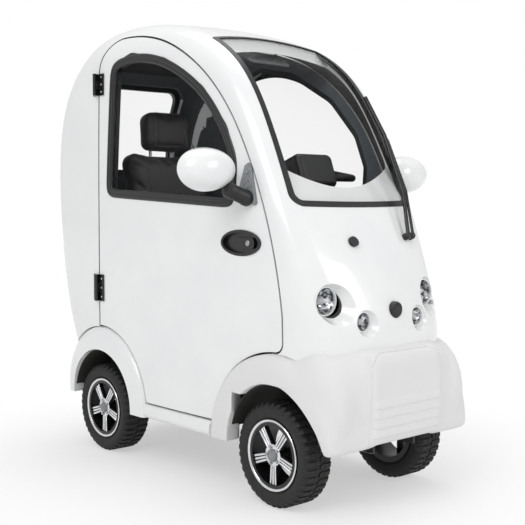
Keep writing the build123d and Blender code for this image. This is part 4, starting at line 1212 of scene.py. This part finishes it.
# Door gaskets
@dataclass
class Gasket:
    """Rubber gasket that rounds the door window's outline and laps the glass."""

    corners: Outline = ((-380.0, 978.0), (-356.0, 1452.0), (-234.0, 1488.0), (-40.0, 1452.0),
                        (175.0, 1335.0), (303.0, 1197.0), (350.0, 1080.0), (338.0, 940.0))
    step: float = 7.0
    rounds: int = 160
    tight: float = 0.1
    loose: float = 0.9
    loose_from: tuple[float, float] = (-300.0, 1120.0)
    grow: float = 7.0
    # Where the skin is felt outside and inside the edge, for its slope
    foot_out: float = 2.0
    foot_in: float = 12.0
    seal_lip: float = 3.0
    thick: float = 1.2
    section: Outline = ((0.0, -0.4), (2.0, -3.2), (7.0, -4.8), (13.0, -4.6), (16.0, -2.6), (19.0, -4.4),
                        (25.0, -4.2), (30.0, -1.6), (31.5, 3.0))

    def outline(self) -> list[Vector]:
        """Sample the window's outline and ease its upper bends.

        Returns:
            Places in side view, in millimetres.
        """
        points = []
        for first, last in zip(self.corners, self.corners[1:] + self.corners[:1]):
            line = Vector(last) - Vector(first)
            count = max(round(line.length / self.step), 1)
            points += [Vector(first) + line * k / count for k in range(count)]
        for _ in range(self.rounds):
            eased = []
            for index, point in enumerate(points):
                middle = (points[index - 1] + points[(index + 1) % len(points)]) / 2
                upper = point.x > self.loose_from[0] and point.y > self.loose_from[1]
                eased.append(point.lerp(middle, self.loose if upper else self.tight))
            points = eased
        return points

    def skin(self, place: Vector) -> float:
        """Find the door's outer skin in side view.

        Args:
            place: the place in side view, in millimetres.

        Returns:
            The skin's place across, in millimetres.
        """
        found = []
        outside = Vector((place.x, OUTSIDE, place.y)) * MM
        for node, lip in (("door_right", 0.0), ("door_seal_right", self.seal_lip), ("door_glass_right", 0.0)):
            hit, spot, _, _ = NODES[node].ray_cast(outside, Vector((0, 1, 0)))
            if hit:
                found.append(spot.y / MM + lip)
        return min(found) if found else 0.0

    def build(self) -> None:
        """Lay the gasket on both doors."""
        loop = self.outline()
        count = len(loop)
        rows = len(self.section)
        places = []
        for index, point in enumerate(loop):
            along = (loop[(index + 1) % count] - loop[index - 1]).normalized()
            inward = Vector((along.y, -along.x))
            edge = point - inward * self.grow
            base = self.skin(edge - inward * self.foot_out)
            inner = self.skin(edge + inward * self.foot_in)
            slope = (inner - base) / (self.foot_out + self.foot_in) if inner else 0.0
            places.append([(edge + inward * deep, base + slope * (deep + self.foot_out) + lift)
                           for deep, lift in self.section])
        piece = start("window_gasket_right", bpy.ops.mesh.primitive_grid_add, x_subdivisions=count,
                      y_subdivisions=rows - 1, size=1.0)
        with edit(piece):
            mesh = bmesh.from_edit_mesh(piece.data)
            mesh.verts.ensure_lookup_table()
            for row in range(rows):
                for index in range(count + 1):
                    spot, across = places[index % count][row]
                    mesh.verts[row * (count + 1) + index].co = Vector((spot.x, across, spot.y)) * MM
            bmesh.update_edit_mesh(piece.data)
            bpy.ops.mesh.select_all(action="SELECT")
            bpy.ops.mesh.remove_doubles(threshold=WELD)
            bpy.ops.mesh.normals_make_consistent(inside=False)
        change(piece, "SOLIDIFY", thickness=self.thick * MM, offset=0.0)
        smooth(piece, 60)
        pair(piece, "door_right", SEAL)


# Mirrors
@dataclass
class Mirrors:
    """Door mirrors: white shell, glass in its gasket, black arm and a grey foot with bolts."""

    centre: Place = (363.0, -461.0, 1052.0)
    half_y: float = 104.0
    half_z: float = 68.0
    deep: float = 76.0
    fullness: float = 0.8
    foot: Outline = ((-46.0, -30.0), (-30.0, -46.0), (38.0, -60.0), (44.0, -52.0), (16.0, 66.0), (4.0, 74.0),
                     (-12.0, 66.0))
    foot_place: tuple[float, float] = (408.0, 1002.0)
    foot_thick: float = 10.0
    foot_sunk: float = 3.0
    foot_edge: float = 2.5
    arm_root: Place = (8.0, -42.0, 4.0)
    arm_end: Place = (398.0, -436.0, 1004.0)
    sleeve: Outline = ((0, 0.0), (22.0, 0.0), (25.5, 5.0), (26.0, 20.0), (24.0, 26.0), (24.0, 62.0),
                       (25.0, 66.0), (25.0, 84.0), (19.0, 94.0), (0, 98.0))
    bolts: Outline = ((3.0, 44.0), (6.0, 22.0), (2.0, 0.0))
    bolt: Outline = ((0, -0.5), (5.4, -0.5), (5.4, 0.8), (4.6, 2.2), (2.4, 3.2), (0, 3.4))

    def plate(self, name: str, inset: float, thick: float, out: float) -> bpy.types.Object:
        """Model an oval plate on the mirror's back.

        Args:
            name: the piece's name.
            inset: how far its edge is inside the shell's.
            thick: its thickness.
            out: how far behind the shell it starts.

        Returns:
            The plate.
        """
        turns = 48
        oval = [((self.half_y - inset) * math.cos(2 * math.pi * k / turns),
                 (self.half_z - inset) * math.sin(2 * math.pi * k / turns)) for k in range(turns)]
        place = seat((self.centre[0] - out, self.centre[1], self.centre[2]), (-1, 0, 0))
        return slab(name, oval, thick, place, 0.5)

    def shell(self) -> bpy.types.Object:
        """Model the rounded shell with its flat back.

        Returns:
            The shell.
        """
        turns = 14
        outline = [(0, 0)]
        for step in range(turns):
            angle = math.pi / 2 * step / turns
            outline.append((self.half_y * math.cos(angle) ** self.fullness, self.deep * math.sin(angle)))
        outline.append((0, self.deep))
        piece = lathe("mirror_shell", outline, (0, 0, 0), (1, 0, 0), 64)
        flat = Matrix.Diagonal((1, 1, self.half_z / self.half_y, 1))
        piece.data.transform(Matrix.Translation(Vector(self.centre) * MM) @ flat)
        smooth(piece, 50)
        return piece

    def build(self) -> None:
        """Fit both mirrors."""
        spot, normal = touch("door_right", (self.foot_place[0], OUTSIDE, self.foot_place[1]), (0, 1, 0))
        place = seat(spot - normal * self.foot_sunk, normal)
        foot = slab("mirror_foot", self.foot, self.foot_thick, place, self.foot_edge, 2)
        root = place @ (Vector(self.arm_root) * MM) / MM
        arm = lathe("mirror_sleeve", self.sleeve, root, Vector(self.arm_end) - root, 36)
        heads = []
        for across, up in self.bolts:
            at = place @ (Vector((across, up, self.foot_thick)) * MM)
            heads.append(lathe("bolt", self.bolt, at / MM, normal, 16))
        parts = ((self.shell(), PAINT, "mirror"),
                 (self.plate("mirror_gasket", inset=2.0, thick=2.4, out=0.0), SEAL, ""),
                 (self.plate("mirror_glass", inset=7.0, thick=1.2, out=2.2), MIRROR_GLASS, ""),
                 (arm, MOULDED, ""), (foot, SILVER, ""), (join(heads, "mirror_bolts"), ZINC, ""))
        for piece, finish, node in parts:
            pair(piece, "door_right", finish, node)


# Screws, locks and wiper
@dataclass
class Fittings:
    """Screws of the hinges, locks of the handles and the twin arms of the wiper."""

    hinges: Outline = ((630.0, 100.0), (1390.0, 80.0))
    leaves: tuple[tuple[str, str, float], ...] = (("door_hinges_right", "door_right", -421.0),
                                                  ("body_hinges", "body", -462.0))
    screw_steps: tuple[float, ...] = (-0.34, 0.0, 0.34)
    screw: Outline = ((0, -0.4), (4.4, -0.4), (4.4, 0.5), (3.4, 1.6), (1.4, 2.0), (1.2, 1.2), (0, 1.2))
    lock_place: tuple[float, float] = (410.0, 823.0)
    lock: Outline = ((0, -2.0), (9.0, -2.0), (9.0, 1.6), (8.0, 2.4), (6.6, 2.4), (6.0, 1.2), (0, 1.2))
    feet: tuple[Place, ...] = ((634.0, 168.0, 838.0), (630.0, 196.0, 838.0))
    nut: Outline = ((0, -24.0), (12.0, -24.0), (12.0, 12.0), (9.0, 17.0), (5.0, 19.0), (0, 19.5))
    nut_axis: Place = (0.914, 0.0, 0.407)
    tip: float = 0.6
    wiper: tuple[tuple[tuple[Place, ...], float], ...] = (
        (((646.0, 168.0, 846.0), (590.0, 205.0, 986.0), (490.0, 222.0, 1180.0)), 6.5),
        (((642.0, 196.0, 846.0), (584.0, 226.0, 990.0), (496.0, 234.0, 1160.0), (490.0, 222.0, 1180.0)), 5.0),
        (((566.0, 208.0, 1032.0), (490.0, 222.0, 1180.0), (398.0, 224.0, 1316.0)), 7.5))

    def build(self) -> None:
        """Fit the small parts to both sides."""
        for node, body, x in self.leaves:
            heads = []
            for z, tall in self.hinges:
                for step in self.screw_steps:
                    spot, normal = touch(node, (x, OUTSIDE, z + step * tall), (0, 1, 0))
                    heads.append(lathe("screw", self.screw, spot, normal, 14))
            piece = join(heads, f"screws_{node}")
            carry(twin(piece, f"screws_{body}_other", MIRRORED), body.replace("right", "left"), ZINC)
            carry(piece, body, ZINC)
        spot, normal = touch("handle_right", (self.lock_place[0], OUTSIDE, self.lock_place[1]), (0, 1, 0))
        pair(lathe("lock_right", self.lock, spot, normal, 28), "door_right", ZINC)
        rods = []
        for path, radius in self.wiper:
            for low, high in zip(path, path[1:]):
                line = Vector(high) - Vector(low)
                tip = self.tip * radius
                outline = [(0, -tip), (radius, 0), (radius, line.length), (0, line.length + tip)]
                rods.append(lathe("rod", outline, low, line, 16))
        for place in self.feet:
            rods.append(lathe("nut", self.nut, place, self.nut_axis, 24))
        carry(join(rods, "wiper_arms"), "body", GLOSS_BLACK, ("wiper",))


# Seat
@dataclass
class Seat:
    """Leather-cloth cushion, back and headrest, blown up from their solids."""

    voxel: float = 7.0
    shrink: float = 9.0
    pressure: float = 4.0
    cap: float = 24.0
    frames: int = 20
    lean: float = 10.0
    back_foot: Place = (-400.0, 0.0, 540.0)
    upright: float = 0.1
    back_rise: float = 1.19
    rest_size: Place = (1.06, 1.08, 1.12)
    rest_move: Place = (20.0, 0.0, 4.0)
    posts: tuple[float, ...] = (-52.0, 52.0)
    post: Outline = ((0, 0), (6.0, 0), (6.0, 90.0), (0, 90.0))
    post_foot: tuple[float, float] = (-505.0, 1100.0)
    post_lean: Place = (-0.08, 0.0, 1.0)
    # Width and depth of the seams, and a distance that counts as none
    seam_half: float = 4.5
    seam_deep: float = 4.5
    rest_seam_deep: float = 3.5
    unsewn: float = 99.0
    # Half widths of the middle panels, cross seams, and the welts with the rims where they run
    cushion_panel: float = 118.0
    cushion_cross: float = -318.0
    cushion_welt: float = 578.0
    cushion_rim: Place = (190.0, -10.0, -370.0)
    back_panel: float = 112.0
    back_widening: tuple[float, float] = (0.12, 880.0)
    back_chevron: tuple[float, float] = (0.55, 790.0)
    back_welt: float = -30.0
    back_rim: tuple[float, float] = (185.0, 1040.0)
    rest_panel: float = 66.0
    rest_cross: float = 1176.0

    def grow(self, middle: Vector, factor: Sequence[float]) -> Matrix:
        """Give the move that grows a piece about its middle.

        Args:
            middle: the middle of the piece's box.
            factor: the growth along each axis.

        Returns:
            The move.
        """
        return Matrix.Translation(middle) @ Matrix.Diagonal((*factor, 1)) @ Matrix.Translation(-middle)

    def stretch(self, node: str, middle: Vector) -> Matrix:
        """Give the move that brings a solid to the photographed seat.

        Args:
            node: the solid's name.
            middle: the middle of its box.

        Returns:
            The move.
        """
        foot = Matrix.Translation(Vector(self.back_foot) * MM)
        tip = Matrix(((1, 0, self.upright, 0), (0, 1, 0, 0), (0, 0, 1, 0), (0, 0, 0, 1)))
        if node == "seat_back":
            return foot @ tip @ Matrix.Scale(self.back_rise, 4, (0, 0, 1)) @ foot.inverted()
        if node == "headrest":
            grown = self.grow(middle, self.rest_size)
            return Matrix.Translation(Vector(self.rest_move) * MM) @ foot @ tip @ foot.inverted() @ grown
        return Matrix()

    def pad(self, node: str) -> bpy.types.Object:
        """Blow up one solid as a stuffed cover.

        Args:
            node: the solid's name.

        Returns:
            The stuffed piece.
        """
        low, high = (Vector(corner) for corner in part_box(node))
        size, middle = high - low, (low + high) / 2
        piece = node_copy(node, f"{node}_padded")
        factor = [1 - 2 * self.shrink * MM / side for side in size]
        piece.data.transform(self.grow(middle, factor))
        piece.data.transform(self.stretch(node, middle))
        only(piece)
        piece.data.remesh_voxel_size = self.voxel * MM
        bpy.ops.object.voxel_remesh()
        self.blow(piece)
        change(piece, "SMOOTH", iterations=3, factor=0.5)
        change(piece, "SUBSURF", levels=1, render_levels=1)
        return piece

    def blow(self, piece: bpy.types.Object) -> None:
        """Run the cloth under pressure and keep each point near its start.

        Args:
            piece: the remeshed cover.
        """
        was = [vertex.co.copy() for vertex in piece.data.vertices]
        cloth = piece.modifiers.new("cloth", "CLOTH")
        cloth.settings.use_pressure = True
        cloth.settings.uniform_pressure_force = self.pressure
        cloth.settings.effector_weights.gravity = 0.0
        for step in range(1, self.frames + 1):
            bpy.context.scene.frame_set(step)
        only(piece)
        bpy.ops.object.modifier_apply(modifier=cloth.name)
        bpy.context.scene.frame_set(1)
        for vertex, before in zip(piece.data.vertices, was):
            move = vertex.co - before
            if move.length > self.cap * MM:
                vertex.co = before + move.normalized() * self.cap * MM

    def cushion_seams(self, p: Vector) -> tuple[float, ...]:
        """Give a point's distances from the cushion's seams.

        Args:
            p: the point in millimetres.

        Returns:
            The distances in millimetres.
        """
        across = p.x - self.cushion_cross if abs(p.y) < self.cushion_panel else self.unsewn
        half, front, rear = self.cushion_rim
        rim = abs(p.y) > half or p.x > front or p.x < rear
        return abs(p.y) - self.cushion_panel, across, p.z - self.cushion_welt if rim else self.unsewn

    def back_seams(self, p: Vector) -> tuple[float, ...]:
        """Give a point's distances from the back's seams.

        Args:
            p: the point in millimetres.

        Returns:
            The distances in millimetres.
        """
        widening, wide_from = self.back_widening
        pitch, point = self.back_chevron
        side = abs(p.y) - self.back_panel - widening * max(p.z - wide_from, 0)
        chevron = (p.z - point) - pitch * abs(p.y) if abs(p.y) < self.back_panel else self.unsewn
        foot_x, _, foot_z = self.back_foot
        slope = math.tan(math.radians(self.lean))
        welt = p.x - (foot_x + self.back_welt - slope * (p.z - foot_z))
        half, top = self.back_rim
        return side, chevron, welt if abs(p.y) > half or p.z > top else self.unsewn

    def rest_seams(self, p: Vector) -> tuple[float, ...]:
        """Give a point's distances from the headrest's seams.

        Args:
            p: the point in millimetres.

        Returns:
            The distances in millimetres.
        """
        across = p.z - self.rest_cross if abs(p.y) < self.rest_panel else self.unsewn
        return abs(p.y) - self.rest_panel, across

    def sew(self, piece: bpy.types.Object, seams: Callable[[Vector], tuple[float, ...]], depth: float) -> None:
        """Pull the cover in along its seams.

        Args:
            piece: the stuffed piece.
            seams: gives a point's distances from the seams, in millimetres.
            depth: how deep the seams lie, in millimetres.
        """
        normals = [vertex.normal.copy() for vertex in piece.data.vertices]
        for vertex, normal in zip(piece.data.vertices, normals):
            near = min(abs(distance) for distance in seams(vertex.co / MM))
            vertex.co -= normal * depth * MM * math.exp(-(near / self.seam_half) ** 2)
        smooth(piece, 60)

    def build(self) -> None:
        """Make the three padded pieces."""
        for node, seams, depth in (("seat_cushion", self.cushion_seams, self.seam_deep),
                                   ("seat_back", self.back_seams, self.seam_deep),
                                   ("headrest", self.rest_seams, self.rest_seam_deep)):
            piece = self.pad(node)
            self.sew(piece, seams, depth)
            carry(piece, "body", LEATHER, (node,))
        foot_x, foot_z = self.post_foot
        posts = [lathe("post", self.post, (foot_x, y, foot_z), self.post_lean, 20) for y in self.posts]
        carry(join(posts, "headrest_posts_moved"), "body", ZINC, ("headrest_posts",))


# Tiller
@dataclass
class Tiller:
    """Controls on the tiller: display, dial, switches and ribbed grips."""

    head: Place = (346.0, 0.0, 1045.0)
    lean: float = -20.0
    deep: float = 110.0
    # Width, height and corner of each plate on the head
    panel: Place = (150.0, 84.0, 18.0)
    screen: Place = (64.0, 34.0, 5.0)
    key: Place = (18.0, 13.0, 3.0)
    panel_thick: float = 4.0
    screen_thick: float = 1.6
    key_thick: float = 3.6
    face: float = 3.6
    upper_row: float = 18.0
    lower_row: float = -22.0
    keys: tuple[float, ...] = (-52.0, -26.0, 26.0, 52.0)
    dial: Outline = ((0, 0.0), (17, 0.0), (17, 8.0), (15.5, 11.0), (6, 12.0), (0, 12.0))
    knob: Outline = ((0, 0.0), (7, 0.0), (7, 3.0), (5.5, 5.0), (0, 5.5))
    grip_x: float = 242.0
    grip_y: tuple[float, ...] = tuple(144.0 + 8.0 * step for step in range(7))
    bar_above: float = 1200.0
    bar_line: Place = (0.0, 1.0, 0.07)
    bar_radius: float = 12.0
    rib: Outline = ((11.6, -2.6), (13.4, -2.2), (14.0, 0.0), (13.4, 2.2), (11.6, 2.6))

    def build(self) -> None:
        """Fit the controls."""
        turn = Matrix.Translation(Vector(self.head) * MM) @ Matrix.Rotation(math.radians(self.lean), 4, "Y")
        rear = turn @ seat((-self.deep / 2 + 1.0, 0, 0), (-1, 0, 0))
        panel = slab("tiller_panel", rounded(*self.panel), self.panel_thick, rear, 1.2, 2)
        carry(panel, "tiller", GLOSS_BLACK)
        upper = rear @ Matrix.Translation(Vector((0, self.upper_row, self.face)) * MM)
        screen = slab("tiller_display", rounded(*self.screen), self.screen_thick, upper, 0.4)
        carry(screen, "tiller", DISPLAY)
        keys = []
        for across in self.keys:
            low = rear @ Matrix.Translation(Vector((across, self.lower_row, self.face)) * MM)
            keys.append(slab("key", rounded(*self.key), self.key_thick, low, 1.0, 2))
        carry(join(keys, "tiller_switches"), "tiller", MOULDED)
        spot = rear @ (Vector((0, self.lower_row, self.face)) * MM)
        out = rear.to_3x3() @ Vector((0, 0, 1))
        carry(lathe("tiller_dial", self.dial, spot / MM, out, 32), "tiller", MOULDED)
        side = rear @ (Vector((self.keys[-1], self.upper_row, self.face)) * MM)
        carry(lathe("tiller_key", self.knob, side / MM, out, 24), "tiller", ZINC)
        self.grips()

    def grips(self) -> None:
        """Put soft ribs on the ends of the bar."""
        ribs = []
        for y in self.grip_y:
            spot, _ = touch("handlebar", (self.grip_x, -y, self.bar_above), (0, 0, -1))
            ribs.append(lathe("rib", self.rib, (self.grip_x, -y, spot.z - self.bar_radius), self.bar_line, 24))
        pair(join(ribs, "grip_right"), "tiller", SEAL)


# Sun visor
@dataclass
class Visor:
    """Smoke plate under the roof's front edge, on two arms."""

    centre: Place = (150.0, -20.0, 1452.0)
    wide: float = 190.0
    tall: float = 74.0
    thick: float = 3.0
    corner: float = 18.0
    facing: Place = (0.62, 0.0, 0.78)
    rise: Place = (-0.78, 0.0, 0.62)
    arms: tuple[float, ...] = (-62.0, 62.0)
    arm_up: float = 22.0

    def build(self) -> None:
        """Hang the plate."""
        place = seat(self.centre, self.facing, self.rise)
        plate = slab("sun_visor", rounded(self.wide, self.tall, self.corner), self.thick, place, 0.8, 2)
        carry(plate, "body", SMOKE)
        made = []
        for across in self.arms:
            foot = place @ (Vector((across, self.arm_up, 0.0)) * MM)
            spot, _ = touch("roof", foot / MM, (0.1, 0, 1))
            reach = (spot - foot / MM).length + 1.0
            outline = [(0, -2.0), (6.0, -2.0), (6.0, 4.0), (4.0, 6.0), (4.0, reach - 6.0), (9.0, reach - 3.0),
                       (9.0, reach), (0, reach)]
            made.append(lathe("arm", outline, foot / MM, spot - foot / MM, 20))
        carry(join(made, "sun_visor_arms"), "body", MOULDED)


def main() -> None:
    """Build the scene piece by piece."""
    logging.basicConfig(level=logging.INFO, format="%(name)s: %(message)s")
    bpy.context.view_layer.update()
    for assembly in (Studio(), Solids(), Lining(), FrontClip(), Nose(), Wheels(), Lamps(), Gasket(), Mirrors(),
                     Fittings(), Seat(), Tiller(), Visor()):
        assembly.build()


if __name__ == "__main__":
    main()
